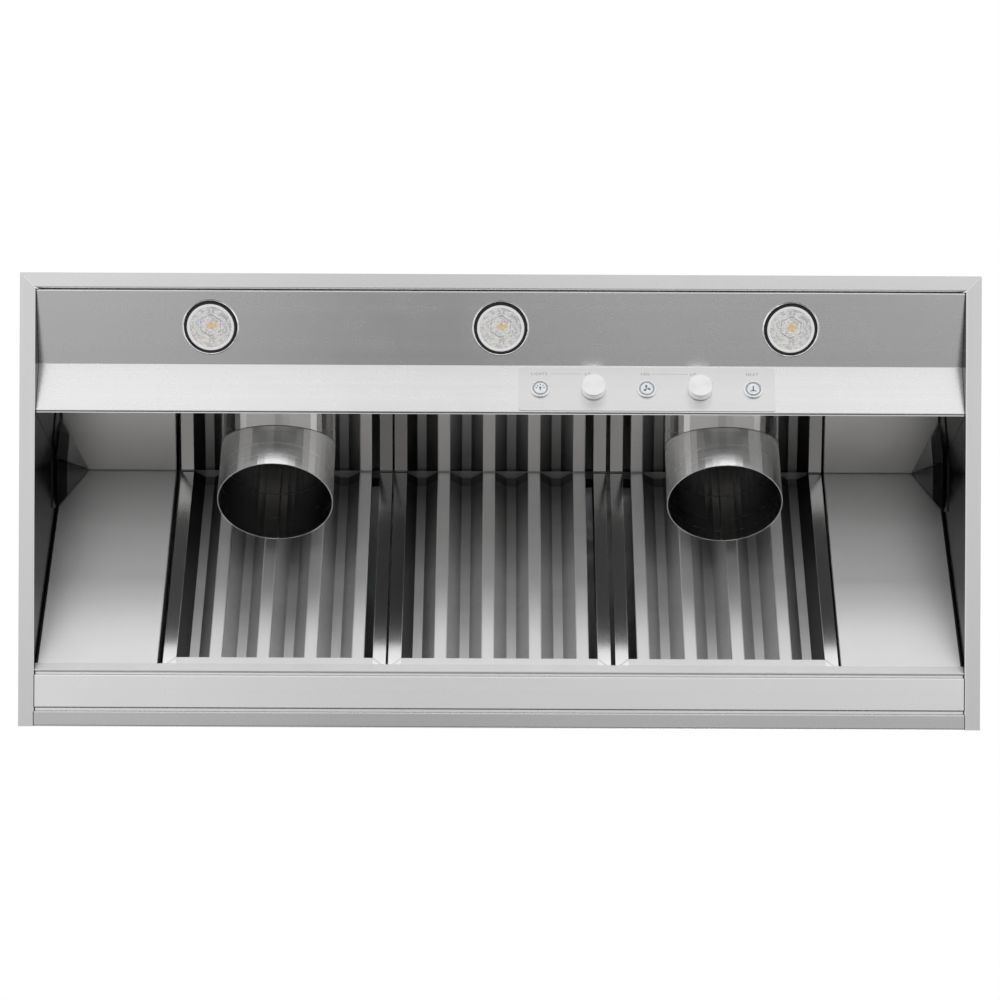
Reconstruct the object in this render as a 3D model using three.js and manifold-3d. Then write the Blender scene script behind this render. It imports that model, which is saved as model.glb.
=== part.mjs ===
// A built-in range hood insert with heat lamps, seen in the photograph from straight below.
// Millimetres, +Z up. The origin is the middle of the flange's underside, -Y is the cook's side
// and +Y the wall. Sheet-metal pieces are folded profiles; everything else is turned or extruded.
import * as THREE from 'three';
import { mergeVertices, mergeGeometries } from 'three/addons/utils/BufferGeometryUtils.js';
import Module from 'manifold-3d';

const wasm = await Module();
wasm.setup();

// ---- Driving dimensions -------------------------------------------------------------------

// body
const width = 1178; // across the flange
const depth = 556; // front to back across the flange
const bodyHeight = 305; // flange underside to the top panel
const flange = 19; // visible width of the flange
const topFlange = 15; // walls' inward flange under the top panel
const backHem = 4.8; // upturned edge of the back flange, which carries the drip tray
const sheet = 1.2; // casing sheet
const thinSheet = 0.8; // filter sheet
const bend = 0.9; // inside radius of a fold
const seat = 0.3; // gap between pieces that touch
const wallHoleRadius = 3; // screw holes high in the side walls
const wallHoleDrop = 34; // their distance below the top
const wallHoleSpread = 120; // distance between the two in one wall

// light panel and control fascia, one bent sheet
const fasciaRise = 6.5; // its front and rear edges above the flange's underside
const ridgeRise = 26; // its ridge above those edges
const lampPanelDepth = 91.2;
const fasciaDepth = 58.8;
const fasciaReturn = 14; // folded edges at front and rear
const lampPitch = 357;
const lampRadius = 28.3;
const lampBezel = 32.2; // outer radius of the lamp's black ring
const trimRadius = 35;
const trimProud = 2.4;
const lampLength = 52;

// controls, in a row on a cover plate
const controlX = 180; // middle of the row
const controlPitch = 65.5;
const plateWidth = 316;
const plateHeight = 59;
const plateCorner = 4;
const plateThickness = 1;
const bezelRadius = 12.2;
const bezelProud = 2.2;
const capRadius = 7.8;
const buttonTravel = 1.5;
const barrelRadius = 9.2;
const barrelLength = 18;
const knobRadius = 15.3;
const knobHeight = 12;
const knobGap = 0.7; // running gap between a knob and the plate
const shaftRadius = 3;
const controlBodyRadius = 12;

// panel that carries the heat lamps
const panelLean = 16.3; // degrees from upright
const panelDrop = 65; // its upper edge below the top of the body
const shroudRadius = 72;
const shroudReach = 96; // from the panel to the mouth, along the axis
const shroudInside = 80; // behind the panel
const shroudTilt = 49; // degrees from straight down, towards the wall
const shroudX = 280;
const shroudSetback = 110.2; // the mouth's middle behind the fascia's foot
const shroudClear = 0.6;
const socketRadius = 21;
const socketLength = 44;
const socketBore = 13.5;
const socketDepth = 28; // of the bore for the bulb's cap
const socketNeck = 15; // radius of the part that passes the shroud's end
const socketTail = 10;
const socketChamfer = 3;

// grease filters, in a sloping bank
const lipRise = 11.5; // upper edge of the lip rail above the flange's underside
const lipSetback = 58.24; // the same edge in front of the back flange
const filterWidth = 274;
const filterGaps = [6.3, 3, 5.7, 3]; // left, between, between, right
const filterThickness = 30;
const filterHidden = 4.5; // part of a filter behind the lip rail
const filterTuck = 18; // part of a filter above the panel's edge
const filterTravel = 13; // how far a filter slides up to come free
const railWidth = 16;
const frameSheet = 1;
const mitre = 0.5; // open joint at the frame's corners
const bafflePairs = 4;
const baffleMargin = 18.6; // rail to the middle of the first baffle
const frontFace = 16.2;
const frontLeg = 10;
const rearFloor = 12.3;
const rearSpread = 51; // width of a rear baffle across its sloping sides
const rearDrop = 14; // depth of those sides

// lip rail, top channel and drip tray
const lipFace = 15;
const lipHem = 7;
const trayRise = 0.6; // underside of the tray above the flange's underside
const trayDepth = 8.6;
const trayRim = 3.2;
const trayEndGap = 0.8;

// gussets that close the upper corners
const gussetDrop = 48; // fold on the side wall, below the panel's upper edge
const gussetFlange = 40;
const gussetReach = 35;
const gussetSheet = 1;

// blower, duct collar and damper
const collarRadius = 101.5; // an 8 inch duct
const collarHeight = 50;
const collarFlange = 12;
const collarInset = 13; // from the back wall
const damperHeight = 20; // hinge pin above the top panel
const pinRadius = 2.5;
const flapSheet = 1;
const knuckle = 4.4; // outer radius of a flap's knuckles
const scrollRadius = 84;
const scrollStart = 64;
const wheelRadius = 60;
const scrollDrop = 121; // the wheel's axis below the top of the walls
const scrollSeat = 4; // from the back wall
const wheelWidth = 180;
const wheelEye = 48;
const blades = 24;
const inletRadius = 50;
const motorRadius = 36;
const motorLength = 104;
const motorEdge = 4; // chamfer at each end of the motor
const motorShaft = 4; // radius
const motorShaftHidden = 14; // part of the shaft inside the motor
const motorArmWidth = 14;
const motorArmReach = 64; // from the axis to the end of an arm
const motorArmSheet = 2;

// electrical boxes
const boxWidth = 120;
const boxDepth = 90;
const boxHeight = 40;
const cableHoleRadius = 11;
const moduleWidth = 220;
const moduleDepth = 84;
const moduleHeight = 42;

// ---- Finishes ------------------------------------------------------------------------------

const finish = (color, roughness, metalness) =>
  new THREE.MeshStandardMaterial({ color, roughness, metalness });
const brushed = () => finish(0xc4c5c6, 0.35, 1);
const mirror = () => finish(0xb8b7b4, 0.12, 1);
const bright = () => finish(0xe6e7e9, 0.28, 1);
const galvanised = () => finish(0xa9adb0, 0.5, 0.9);
const black = () => finish(0x17181a, 0.6, 0);
const grey = () => finish(0x8c9097, 0.5, 0.1);
const porcelain = () => finish(0xe9e6de, 0.3, 0);
const glass = () => finish(0xd9dbd8, 0.1, 0);

// ---- Shape helpers -------------------------------------------------------------------------

const rad = THREE.MathUtils.degToRad;
const vec = (x, y) => new THREE.Vector2(x, y);

/** Closed, outward-facing copy of a geometry: shared corners merged, collapsed triangles dropped. */
function closed(source) {
  const bare = source.clone();
  for (const name of Object.keys(bare.attributes)) {
    if (name !== 'position') bare.deleteAttribute(name);
  }
  const merged = mergeVertices(bare, 1e-4);
  const p = merged.attributes.position;
  const kept = [];
  let volume = 0;
  const corner = [new THREE.Vector3(), new THREE.Vector3(), new THREE.Vector3()];
  for (let i = 0; i < merged.index.count; i += 3) {
    const abc = [0, 1, 2].map((k) => merged.index.getX(i + k));
    if (new Set(abc).size < 3) continue;
    abc.forEach((v, k) => corner[k].fromBufferAttribute(p, v));
    volume += corner[0].dot(corner[1].clone().cross(corner[2]));
    kept.push(abc);
  }
  const order = volume < 0 ? [0, 2, 1] : [0, 1, 2];
  merged.setIndex(kept.flatMap((abc) => order.map((k) => abc[k])));
  return merged;
}

function solid(geometry) {
  const g = closed(geometry);
  return new wasm.Manifold(new wasm.Mesh({
    numProp: 3,
    vertProperties: new Float32Array(g.attributes.position.array),
    triVerts: new Uint32Array(g.index.array),
  }));
}

function geometryOf(manifold) {
  const m = manifold.getMesh();
  const g = new THREE.BufferGeometry();
  g.setAttribute('position', new THREE.BufferAttribute(new Float32Array(m.vertProperties), 3));
  g.setIndex([...m.triVerts]);
  return g;
}

const join = (first, ...more) =>
  geometryOf(more.reduce((sum, g) => sum.add(solid(g)), solid(first)));
const cut = (first, ...tools) =>
  geometryOf(tools.reduce((rest, g) => rest.subtract(solid(g)), solid(first)));
const common = (first, second) => geometryOf(solid(first).intersect(solid(second)));

/** Section of a sheet folded along a path; the sheet lies on the path's left, with round folds. */
function foldedSheet(path, thickness = sheet, radius = bend, steps = 3) {
  const points = path.map(([x, y]) => vec(x, y));
  const left = (d) => vec(-d.y, d.x);
  const direction = (i) => points[i + 1].clone().sub(points[i]).normalize();
  const base = [points[0].clone()];
  const far = [points[0].clone().addScaledVector(left(direction(0)), thickness)];
  for (let i = 1; i < points.length - 1; i++) {
    const before = direction(i - 1);
    const after = direction(i);
    const turn = Math.atan2(before.cross(after), before.dot(after));
    const side = Math.sign(turn);
    const baseRadius = side > 0 ? radius + thickness : radius;
    const farRadius = side > 0 ? radius : radius + thickness;
    const run = baseRadius * Math.tan(Math.abs(turn) / 2);
    const centre = points[i].clone().addScaledVector(before, -run)
      .addScaledVector(left(before), side * baseRadius);
    for (let k = 0; k <= steps; k++) {
      const d = before.clone().rotateAround(vec(0, 0), turn * k / steps);
      base.push(centre.clone().addScaledVector(left(d), -side * baseRadius));
      far.push(centre.clone().addScaledVector(left(d), -side * farRadius));
    }
  }
  const last = points.length - 1;
  base.push(points[last].clone());
  far.push(points[last].clone().addScaledVector(left(direction(last - 1)), thickness));
  return [...base, ...far.reverse()];
}

const asPoints = (list) => list.map((p) => (p.isVector2 ? p : vec(p[0], p[1])));

function extruded(outline, length, axes, at) {
  const shape = new THREE.Shape(asPoints(outline));
  const g = new THREE.ExtrudeGeometry(shape, { depth: length, bevelEnabled: false });
  const turn = new THREE.Matrix4().makeBasis(...axes.map((a) => new THREE.Vector3(...a)));
  return g.applyMatrix4(turn.setPosition(...at));
}

/** Prisms: the outline's two numbers are the two axes that aren't the prism's own. */
const alongX = (yz, x0, x1) =>
  extruded(yz, x1 - x0, [[0, 1, 0], [0, 0, 1], [1, 0, 0]], [x0, 0, 0]);
const alongY = (xz, y0, y1) =>
  extruded(xz, y1 - y0, [[1, 0, 0], [0, 0, 1], [0, -1, 0]], [0, y1, 0]);
const alongZ = (xy, z0, z1) =>
  extruded(xy, z1 - z0, [[1, 0, 0], [0, 1, 0], [0, 0, 1]], [0, 0, z0]);

const rectangle = (x0, y0, x1, y1) => [[x0, y0], [x1, y0], [x1, y1], [x0, y1]];
const block = (x0, x1, y0, y1, z0, z1) => alongZ(rectangle(x0, y0, x1, y1), z0, z1);

/** Solid of revolution about Z from a closed outline of [radius, z] pairs. */
function turned(outline, segments = 36) {
  const ring = asPoints([...outline, outline[0]]);
  return new THREE.LatheGeometry(ring, segments).rotateX(Math.PI / 2);
}

const rod = (radius, z0, z1, segments = 36) =>
  turned([[0, z0], [radius, z0], [radius, z1], [0, z1]], segments);
const tube = (outer, inner, z0, z1, segments = 36) =>
  turned([[inner, z0], [outer, z0], [outer, z1], [inner, z1]], segments);

function roundedRectangle(w, h, r, steps = 3) {
  const points = [];
  const corners = [[1, 1, 0], [-1, 1, 90], [-1, -1, 180], [1, -1, 270]];
  for (const [sx, sy, start] of corners) {
    for (let k = 0; k <= steps; k++) {
      const a = rad(start + 90 * k / steps);
      points.push([sx * (w / 2 - r) + r * Math.cos(a), sy * (h / 2 - r) + r * Math.sin(a)]);
    }
  }
  return points;
}

const moved = (g, x, y, z) => g.clone().translate(x, y, z);
const mirroredX = (g) => closed(g.clone().scale(-1, 1, 1));

// ---- Scene helpers -------------------------------------------------------------------------

const hood = new THREE.Group();

/** Group whose own Z is the outward normal (0, ny, nz) of a sloping face through (y, z). */
function face(y, z, ny, nz, parent = hood) {
  const group = new THREE.Group();
  group.position.set(0, y, z);
  group.rotation.x = Math.atan2(-ny, nz);
  parent.add(group);
  group.updateMatrixWorld(true);
  return group;
}

function add(name, geometry, material, parent = hood, x = 0, y = 0, z = 0) {
  const mesh = new THREE.Mesh(closed(geometry), material);
  mesh.name = name;
  mesh.geometry.computeVertexNormals();
  mesh.position.set(x, y, z);
  parent.add(mesh);
  return mesh;
}

/** A tool drawn in a group's own axes, moved there for cutting a piece drawn in the hood's. */
const inWorld = (g, group) => g.clone().applyMatrix4(group.matrixWorld);

// ---- Casing --------------------------------------------------------------------------------

const wallX = width / 2 - flange; // inner face of a side wall
const frontY = -depth / 2 + flange; // inner face of the front wall
const backY = depth / 2; // outer face of the back wall
const backLipY = backY - flange; // free edge of the back flange
const topZ = bodyHeight - sheet - seat; // top of the walls
const outerX = wallX + sheet;

function frontWall() {
  const section = foldedSheet([
    [-depth / 2, 0], [frontY, 0], [frontY, topZ - sheet], [frontY + topFlange, topZ - sheet],
  ]);
  const wall = alongX(section, -width / 2, width / 2);
  // the flange is mitred, and the upright and the top flange stop at the side walls
  const corner = (s) => alongZ([
    [s * width, -depth], [s * width, 0], [s * (outerX - topFlange - sheet - seat), 0],
    [s * (outerX - topFlange - sheet - seat), frontY],
    [s * outerX, frontY - sheet], [s * (width / 2), -depth / 2],
    [s * (width / 2 + flange), -depth / 2 - flange],
  ], -1, bodyHeight);
  return cut(wall, corner(1), corner(-1));
}

function sideWall() {
  const section = foldedSheet([
    [-width / 2, 0], [-wallX, 0], [-wallX, topZ - sheet], [-wallX + topFlange, topZ - sheet],
  ]);
  const wall = alongY(section, -depth / 2, depth / 2);
  const shift = seat * Math.SQRT2;
  const corner = alongZ([
    [-width, -depth], [0, -depth], [0, frontY + seat],
    [-outerX - seat, frontY + seat], [-outerX - seat, frontY - sheet + shift - seat],
    [-width / 2, -depth / 2 + shift], [-width / 2 - flange, -depth / 2 - flange + shift],
  ], -1, bodyHeight);
  const notchY = backY - topFlange - sheet - seat;
  const backNotch = block(-wallX - seat / 2, 0, notchY, depth, topZ - 2 * sheet, bodyHeight);
  const holes = [0, 1].map((k) => rod(wallHoleRadius, -wallX - 3 * sheet, -wallX + 3 * sheet, 16)
    .rotateY(Math.PI / 2).translate(0, collarY + (k - 0.5) * wallHoleSpread, bodyHeight - wallHoleDrop));
  return cut(wall, corner, backNotch, ...holes);
}

function backWall() {
  const section = foldedSheet([
    [backLipY, backHem + sheet], [backLipY, 0], [backY, 0], [backY, topZ], [backY - topFlange, topZ],
  ]);
  return alongX(section, -wallX + seat, wallX - seat);
}

const collarY = backY - sheet - collarInset - collarRadius;

function topPanel() {
  const plate = block(-outerX, outerX, frontY - sheet, backY, bodyHeight - sheet, bodyHeight);
  const duct = rod(collarRadius - sheet, 0, bodyHeight + 5, 36).translate(0, collarY, 0);
  const cableHole = rod(cableHoleRadius, 0, bodyHeight + 5, 20).translate(boxX, boxY, 0);
  return cut(plate, duct, cableHole);
}

const boxX = controlX + 60;
const boxY = frontY + 75;

add('front_wall', frontWall(), brushed());
add('left_wall', sideWall(), brushed());
add('right_wall', mirroredX(sideWall()), brushed());
add('back_wall', backWall(), brushed());
add('top_panel', topPanel(), galvanised());

// ---- Light panel and control fascia --------------------------------------------------------

const lampEdge = { y: frontY + seat, z: fasciaRise };
const ridge = { y: lampEdge.y + lampPanelDepth, z: fasciaRise + ridgeRise };
const foot = { y: ridge.y + fasciaDepth, z: fasciaRise };
const up = { y: Math.sin(rad(panelLean)), z: Math.cos(rad(panelLean)) }; // along the lamp panel
const lampSlant = Math.hypot(lampPanelDepth, ridgeRise);
const fasciaSlant = Math.hypot(fasciaDepth, ridgeRise);

const lampFace = face((lampEdge.y + ridge.y) / 2, (lampEdge.z + ridge.z) / 2,
  ridgeRise / lampSlant, -lampPanelDepth / lampSlant);
const controlFace = face((ridge.y + foot.y) / 2, (ridge.z + foot.z) / 2,
  -ridgeRise / fasciaSlant, -fasciaDepth / fasciaSlant);

const lampBarrel = lampBezel + seat + sheet; // outer radius of a trim's barrel
const lamps = { left: -lampPitch, centre: 0, right: lampPitch };
const controls = { light_button: -2, light_knob: -1, fan_button: 0, fan_knob: 1, heat_button: 2 };
const controlPlace = (name) => controlX + controls[name] * controlPitch;
const isButton = (name) => name.endsWith('button');

function lightFascia() {
  const section = foldedSheet([
    [lampEdge.y, fasciaRise + fasciaReturn], [lampEdge.y, fasciaRise], [ridge.y, ridge.z],
    [foot.y, foot.z], [foot.y + fasciaReturn * up.y, foot.z + fasciaReturn * up.z],
  ]);
  const plate = alongX(section, -wallX + seat, wallX - seat);
  const lampHoles = Object.values(lamps).map((x) =>
    inWorld(moved(rod(lampBarrel + seat, -20, 20, 28), x, 0, 0), lampFace));
  const controlHoles = Object.keys(controls).map((name) => {
    const radius = isButton(name) ? barrelRadius + seat : shaftRadius + sheet + 2 * seat;
    return inWorld(moved(rod(radius, -20, 20, 16), controlPlace(name), 0, 0), controlFace);
  });
  return cut(plate, ...lampHoles, ...controlHoles);
}

function lampTrim() {
  const inner = lampBezel + seat;
  return turned([
    [inner, -14], [lampBarrel, -14], [lampBarrel, seat], [trimRadius - 0.4, seat],
    [trimRadius, seat + 0.4], [trimRadius - 0.4, trimProud - 0.4], [trimRadius - 1.2, trimProud],
    [inner, trimProud],
  ], 28);
}

const lampFront = trimProud - 0.8; // front of the lamp's black ring
const lensBack = lampFront - 5;

/** LED lamp: a black ring round the lens, with a finned heat sink behind. */
function ledLamp() {
  const body = turned([
    [0, lensBack - seat], [lampRadius + seat, lensBack - seat], [lampRadius + seat, lampFront],
    [lampBezel, lampFront], [lampBezel, -16], [24, -22], [21, -lampLength], [0, -lampLength],
  ], 24);
  const fin = (z) => tube(30, 20, z - 1.5, z, 24);
  return join(body, fin(-32), fin(-42));
}

function lampLens() {
  return turned([
    [0, lensBack], [lampRadius, lensBack], [lampRadius, lampFront - 1.2],
    [lampRadius - 1.5, lampFront - 0.4], [0, lampFront],
  ], 24);
}

add('light_fascia', lightFascia(), brushed());
for (const [side, x] of Object.entries(lamps)) {
  add(side + '_lamp_trim', lampTrim(), bright(), lampFace, x);
  add(side + '_lamp', ledLamp(), black(), lampFace, x);
  add(side + '_lamp_lens', lampLens(), glass(), lampFace, x);
}

// ---- Controls ------------------------------------------------------------------------------

const plateZ = seat + plateThickness; // outer face of the control plate
const panelBack = -sheet - seat; // just behind the fascia sheet

function controlPlate() {
  const outline = roundedRectangle(plateWidth, plateHeight, plateCorner);
  const plate = moved(alongZ(outline, seat, plateZ), controlX, 0, 0);
  const holes = Object.keys(controls).map((name) => {
    const radius = isButton(name) ? barrelRadius + seat : shaftRadius + sheet + 2 * seat;
    return moved(rod(radius, -5, 5, 16), controlPlace(name), 0, 0);
  });
  return cut(plate, ...holes);
}

/** Ring with its threaded barrel; the step inside the ring is the lit halo. */
function buttonBezel() {
  const z = plateZ + seat;
  const bore = capRadius + seat;
  return turned([
    [bore, -barrelLength], [barrelRadius, -barrelLength], [barrelRadius, z], [bezelRadius - 0.4, z],
    [bezelRadius, z + 0.4], [bezelRadius - 0.5, z + bezelProud - 0.4],
    [bezelRadius - 1.1, z + bezelProud],
    [9.8, z + bezelProud], [9.8, z + bezelProud - 0.7], [bore, z + bezelProud - 0.7],
  ], 20);
}

const capTop = plateZ + seat + bezelProud + 0.1;
const switchZ = -barrelLength - seat;

function buttonCap() {
  return turned([
    [0, switchZ + buttonTravel + 1], [3, switchZ + buttonTravel + 1],
    [3, capTop - 4], [capRadius, capTop - 4],
    [capRadius, capTop - 0.5], [capRadius - 0.5, capTop - 0.1], [0, capTop],
  ], 20);
}

/** Contact block on the barrel's rear end, with a blind well for the cap's stem. */
function pushSwitch() {
  const body = block(-9, 9, -9, 9, switchZ - 20, switchZ);
  const well = rod(4, switchZ - 6, switchZ + 1, 12);
  const blades = [-5, 0, 5].map((x) => block(x - 1.2, x + 1.2, -0.4, 0.4, switchZ - 27, switchZ - 19));
  return cut(join(body, ...blades), well);
}

function knob() {
  const z0 = plateZ + knobGap;
  const z1 = z0 + knobHeight;
  const body = turned([
    [0, z0 + 0.2], [knobRadius - 1, z0 + 0.2], [knobRadius, z0 + 1.2], [knobRadius, z1 - 0.7],
    [knobRadius - 0.7, z1], [0, z1],
  ], 32);
  const bore = rod(shaftRadius + 0.1, z0 - 1, z1 - 3, 16);
  const recess = rod(knobRadius - 3, z0 - 1, z0 + 1.5, 24);
  const mark = block(-0.35, 0.35, -knobRadius - 1, -knobRadius + 0.35, z0 + 3, z1 - 0.7);
  return cut(body, bore, recess, mark);
}

const controlBack = panelBack - 10; // rear of a rotary control

function knobShaft() {
  return rod(shaftRadius, panelBack - 3, plateZ + knobGap + knobHeight - 3.3, 16);
}

function rotaryControl() {
  const body = rod(controlBodyRadius, controlBack, panelBack, 20);
  const bush = rod(shaftRadius + sheet, panelBack - 1, plateZ - 0.1, 16);
  const bore = rod(shaftRadius + 0.1, panelBack - 4, plateZ + 1, 16);
  const y = -controlBodyRadius - 5;
  const terminals = [-5, 0, 5].map((x) =>
    block(x - 1, x + 1, y, y + 8, controlBack + 2, controlBack + 2.8));
  return cut(join(body, bush, ...terminals), bore);
}

add('control_plate', controlPlate(), brushed(), controlFace);
for (const name of Object.keys(controls)) {
  const x = controlPlace(name);
  if (isButton(name)) {
    add(name + '_bezel', buttonBezel(), bright(), controlFace, x);
    add(name + '_cap', buttonCap(), bright(), controlFace, x);
    add(name.replace('button', 'push_switch'), pushSwitch(), black(), controlFace, x);
  } else {
    add(name, knob(), bright(), controlFace, x);
    add(name + '_shaft', knobShaft(), bright(), controlFace, x);
    add(name.replace('knob', 'rotary_control'), rotaryControl(), grey(), controlFace, x);
  }
}

// ---- Heat-lamp panel and shrouds -----------------------------------------------------------

const panelNormal = { y: up.z, z: -up.y };
const panelSkin = seat + sheet; // visible face of the panel in front of the fascia's return
const panelLine = (z) => foot.y + panelSkin / up.z + (z - foot.z) * up.y / up.z;
const panelFootZ = foot.z + 1.5;
const panelTop = bodyHeight - panelDrop;
const panelTopY = panelLine(panelTop);

const shroudAxis = { y: Math.sin(rad(shroudTilt)), z: -Math.cos(rad(shroudTilt)) };
const shroudMouthY = foot.y + shroudSetback;
// the mouth's height follows from the panel: its axis runs back to the panel in shroudReach
const shroudMouthZ = (() => {
  const y = shroudMouthY - shroudReach * shroudAxis.y;
  const z = foot.z + (y - panelLine(foot.z)) * up.z / up.y;
  return z + shroudReach * shroudAxis.z;
})();
const shroudFace = face(shroudMouthY, shroudMouthZ, shroudAxis.y, shroudAxis.z);
const shroudEnd = -shroudReach - shroudInside;
const shroudSides = { left: -shroudX, right: shroudX };

function heatLampPanel() {
  const top = panelTop - seat;
  const plate = alongX([
    [panelLine(panelFootZ), panelFootZ], [panelLine(top), top],
    [panelLine(top) - sheet * panelNormal.y, top - sheet * panelNormal.z],
    [panelLine(panelFootZ) - sheet * panelNormal.y, panelFootZ - sheet * panelNormal.z],
  ], -wallX + seat, wallX - seat);
  const bores = Object.values(shroudSides).map((x) =>
    inWorld(moved(rod(shroudRadius + shroudClear, shroudEnd, 0, 48), x, 0, 0), shroudFace));
  return cut(plate, ...bores);
}

function heatShroud() {
  const inner = shroudRadius - sheet;
  const hole = socketNeck + 1;
  return turned([
    [inner, 0], [shroudRadius, 0], [shroudRadius, shroudEnd], [hole, shroudEnd],
    [hole, shroudEnd + sheet], [inner, shroudEnd + sheet],
  ], 48);
}

function heatSocket() {
  const z = shroudEnd + sheet + seat;
  const mouth = z + socketLength;
  const floor = mouth - socketDepth;
  return turned([
    [0, z - socketTail], [socketNeck, z - socketTail], [socketNeck, z], [socketRadius, z],
    [socketRadius, mouth - socketChamfer], [socketRadius - socketChamfer, mouth],
    [socketBore, mouth], [socketBore, floor], [socketBore / 3, floor - socketChamfer],
    [0, floor - socketChamfer],
  ], 20);
}

add('heat_lamp_panel', heatLampPanel(), mirror());
for (const [side, x] of Object.entries(shroudSides)) {
  add(side + '_heat_shroud', heatShroud(), brushed(), shroudFace, x);
  add(side + '_heat_socket', heatSocket(), porcelain(), shroudFace, x);
}

// ---- Filter bank ---------------------------------------------------------------------------

const lip = { y: backLipY - lipSetback, z: lipRise };
const slope = Math.atan2(panelTop - lip.z, lip.y - panelTopY); // of the bank, from level
const sight = Math.hypot(panelTop - lip.z, lip.y - panelTopY); // visible length of a filter
// own axes of the bank: x across, y up the slope from the lip rail's edge, z out towards the cook
const bank = face(lip.y, lip.z, -Math.sin(slope), -Math.cos(slope));
const bankWidth = 3 * filterWidth + filterGaps.reduce((a, b) => a + b);
const filterLength = filterHidden + sight + filterTuck;
const filterFront = -sheet - seat; // front face of the filters, behind the lip rail's sheet
const filterX = (k) => -bankWidth / 2 + filterWidth * (k + 0.5)
  + filterGaps.slice(0, k + 1).reduce((a, b) => a + b);

const halfPitch = (filterWidth - 2 * railWidth - 2 * baffleMargin) / (2 * bafflePairs - 1);
const baffleX = (k) => (k - (2 * bafflePairs - 1) / 2) * halfPitch;
const weld = 0.1; // how far a baffle's end is sunk into the rail that it is welded to

/** One row of baffles, laid end to end in a frame; first is the place of the row's first baffle. */
function baffleRow(section, first, end) {
  const row = [];
  for (let k = first; k < 2 * bafflePairs; k += 2) {
    row.push(moved(alongY(section, end, filterLength - end), baffleX(k), 0, 0));
  }
  return row;
}

/** Channel frame with mitred corners, and the front baffles welded behind its face. */
function filterFrame(first) {
  const w = filterWidth / 2;
  const l = filterLength;
  const shell = block(-w, w, 0, l, -filterThickness, 0);
  const hollow = block(-w + frameSheet, w - frameSheet, frameSheet, l - frameSheet,
    -filterThickness - 1, -frameSheet);
  const window = block(-w + railWidth, w - railWidth, railWidth, l - railWidth, -filterThickness - 1, 1);
  const joints = [[-w, 0, 45], [w, 0, 135], [-w, l, -45], [w, l, -135]].map(([x, y, degrees]) =>
    block(frameSheet * 3, railWidth * 1.6, -mitre / 2, mitre / 2, -frameSheet * 1.5, 1)
      .rotateZ(rad(degrees)).translate(x, y, 0));
  const half = frontFace / 2;
  const z = -frameSheet + weld;
  const section = foldedSheet([
    [half, z - frontLeg], [half, z], [-half, z], [-half, z - frontLeg],
  ], thinSheet, 0.6, 2);
  return join(cut(shell, hollow, window, ...joints), ...baffleRow(section, first, frameSheet / 2));
}

/** Rear ring inside the frame, with the rear baffles: troughs whose sides reach behind the front row. */
function rearBaffles(first) {
  const w = filterWidth / 2 - frameSheet - seat;
  const edge = frameSheet + seat;
  const back = -filterThickness + frameSheet;
  const ring = cut(block(-w, w, edge, filterLength - edge, -filterThickness, back),
    block(-w + railWidth, w - railWidth, railWidth, filterLength - railWidth, -filterThickness - 1, 1));
  const z = back - weld;
  const section = foldedSheet([
    [-rearSpread / 2, z + rearDrop], [-rearFloor / 2, z], [rearFloor / 2, z],
    [rearSpread / 2, z + rearDrop],
  ], thinSheet, 0.6, 2);
  return join(ring, ...baffleRow(section, first, edge + seat));
}

['left', 'centre', 'right'].forEach((side, k) => {
  const place = [filterX(k), -filterHidden, filterFront];
  const turnedRound = side === 'right' ? 1 : 0; // this filter stands end for end
  add(side + '_filter_frame', filterFrame(1 - turnedRound), brushed(), bank, ...place);
  add(side + '_filter_rear_baffles', rearBaffles(turnedRound), brushed(), bank, ...place);
});

/** Flat panel beside the bank, with a folded side that closes the recess. */
function fillerPanel() {
  const inner = -bankWidth / 2;
  const outer = -wallX + trayEndGap;
  const section = foldedSheet([
    [inner, filterFront - filterThickness], [inner, filterFront], [outer, filterFront],
  ]);
  return alongY(section, -filterHidden, sight + filterTuck);
}

add('left_filler_panel', fillerPanel(), brushed(), bank);
add('right_filler_panel', mirroredX(fillerPanel()), brushed(), bank);

// ---- Lip rail, top channel and drip tray -----------------------------------------------------

const down = { y: Math.cos(slope), z: -Math.sin(slope) }; // down the slope
const back = { y: Math.sin(slope), z: Math.cos(slope) }; // into the bank
const bankPoint = (along, behind) =>
  [lip.y - along * down.y + behind * back.y, lip.z - along * down.z + behind * back.z];
const railFoot = bankPoint(-lipFace, 0);

function lipRail() {
  // skirt with its upturned hem
  const skirt = foldedSheet([
    bankPoint(0, 0), railFoot, [railFoot[0], railFoot[1] + lipHem],
  ]);
  // seat for the filters' lower ends, folded back from behind the skirt
  const hidden = filterHidden + seat;
  const seatStrip = [
    bankPoint(-hidden, sheet / 2), bankPoint(-hidden, filterThickness + 2 * sheet),
    bankPoint(-hidden - sheet, filterThickness + 2 * sheet), bankPoint(-hidden - sheet, sheet / 2),
  ];
  const length = [-wallX + seat, wallX - seat];
  return join(alongX(skirt, ...length), alongX(seatStrip, ...length));
}

const channelTop = sight + filterTuck + filterTravel + 5;

function topChannel() {
  const corner = bankPoint(channelTop, filterThickness + 2);
  const underPanel = topZ + seat - sheet;
  const section = foldedSheet([
    [corner[0] + topFlange, underPanel], [corner[0], underPanel], corner,
    bankPoint(channelTop, 0), bankPoint(sight + sheet, 0),
  ]);
  return alongX(section, -wallX + topFlange + seat, wallX - topFlange - seat);
}

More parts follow.
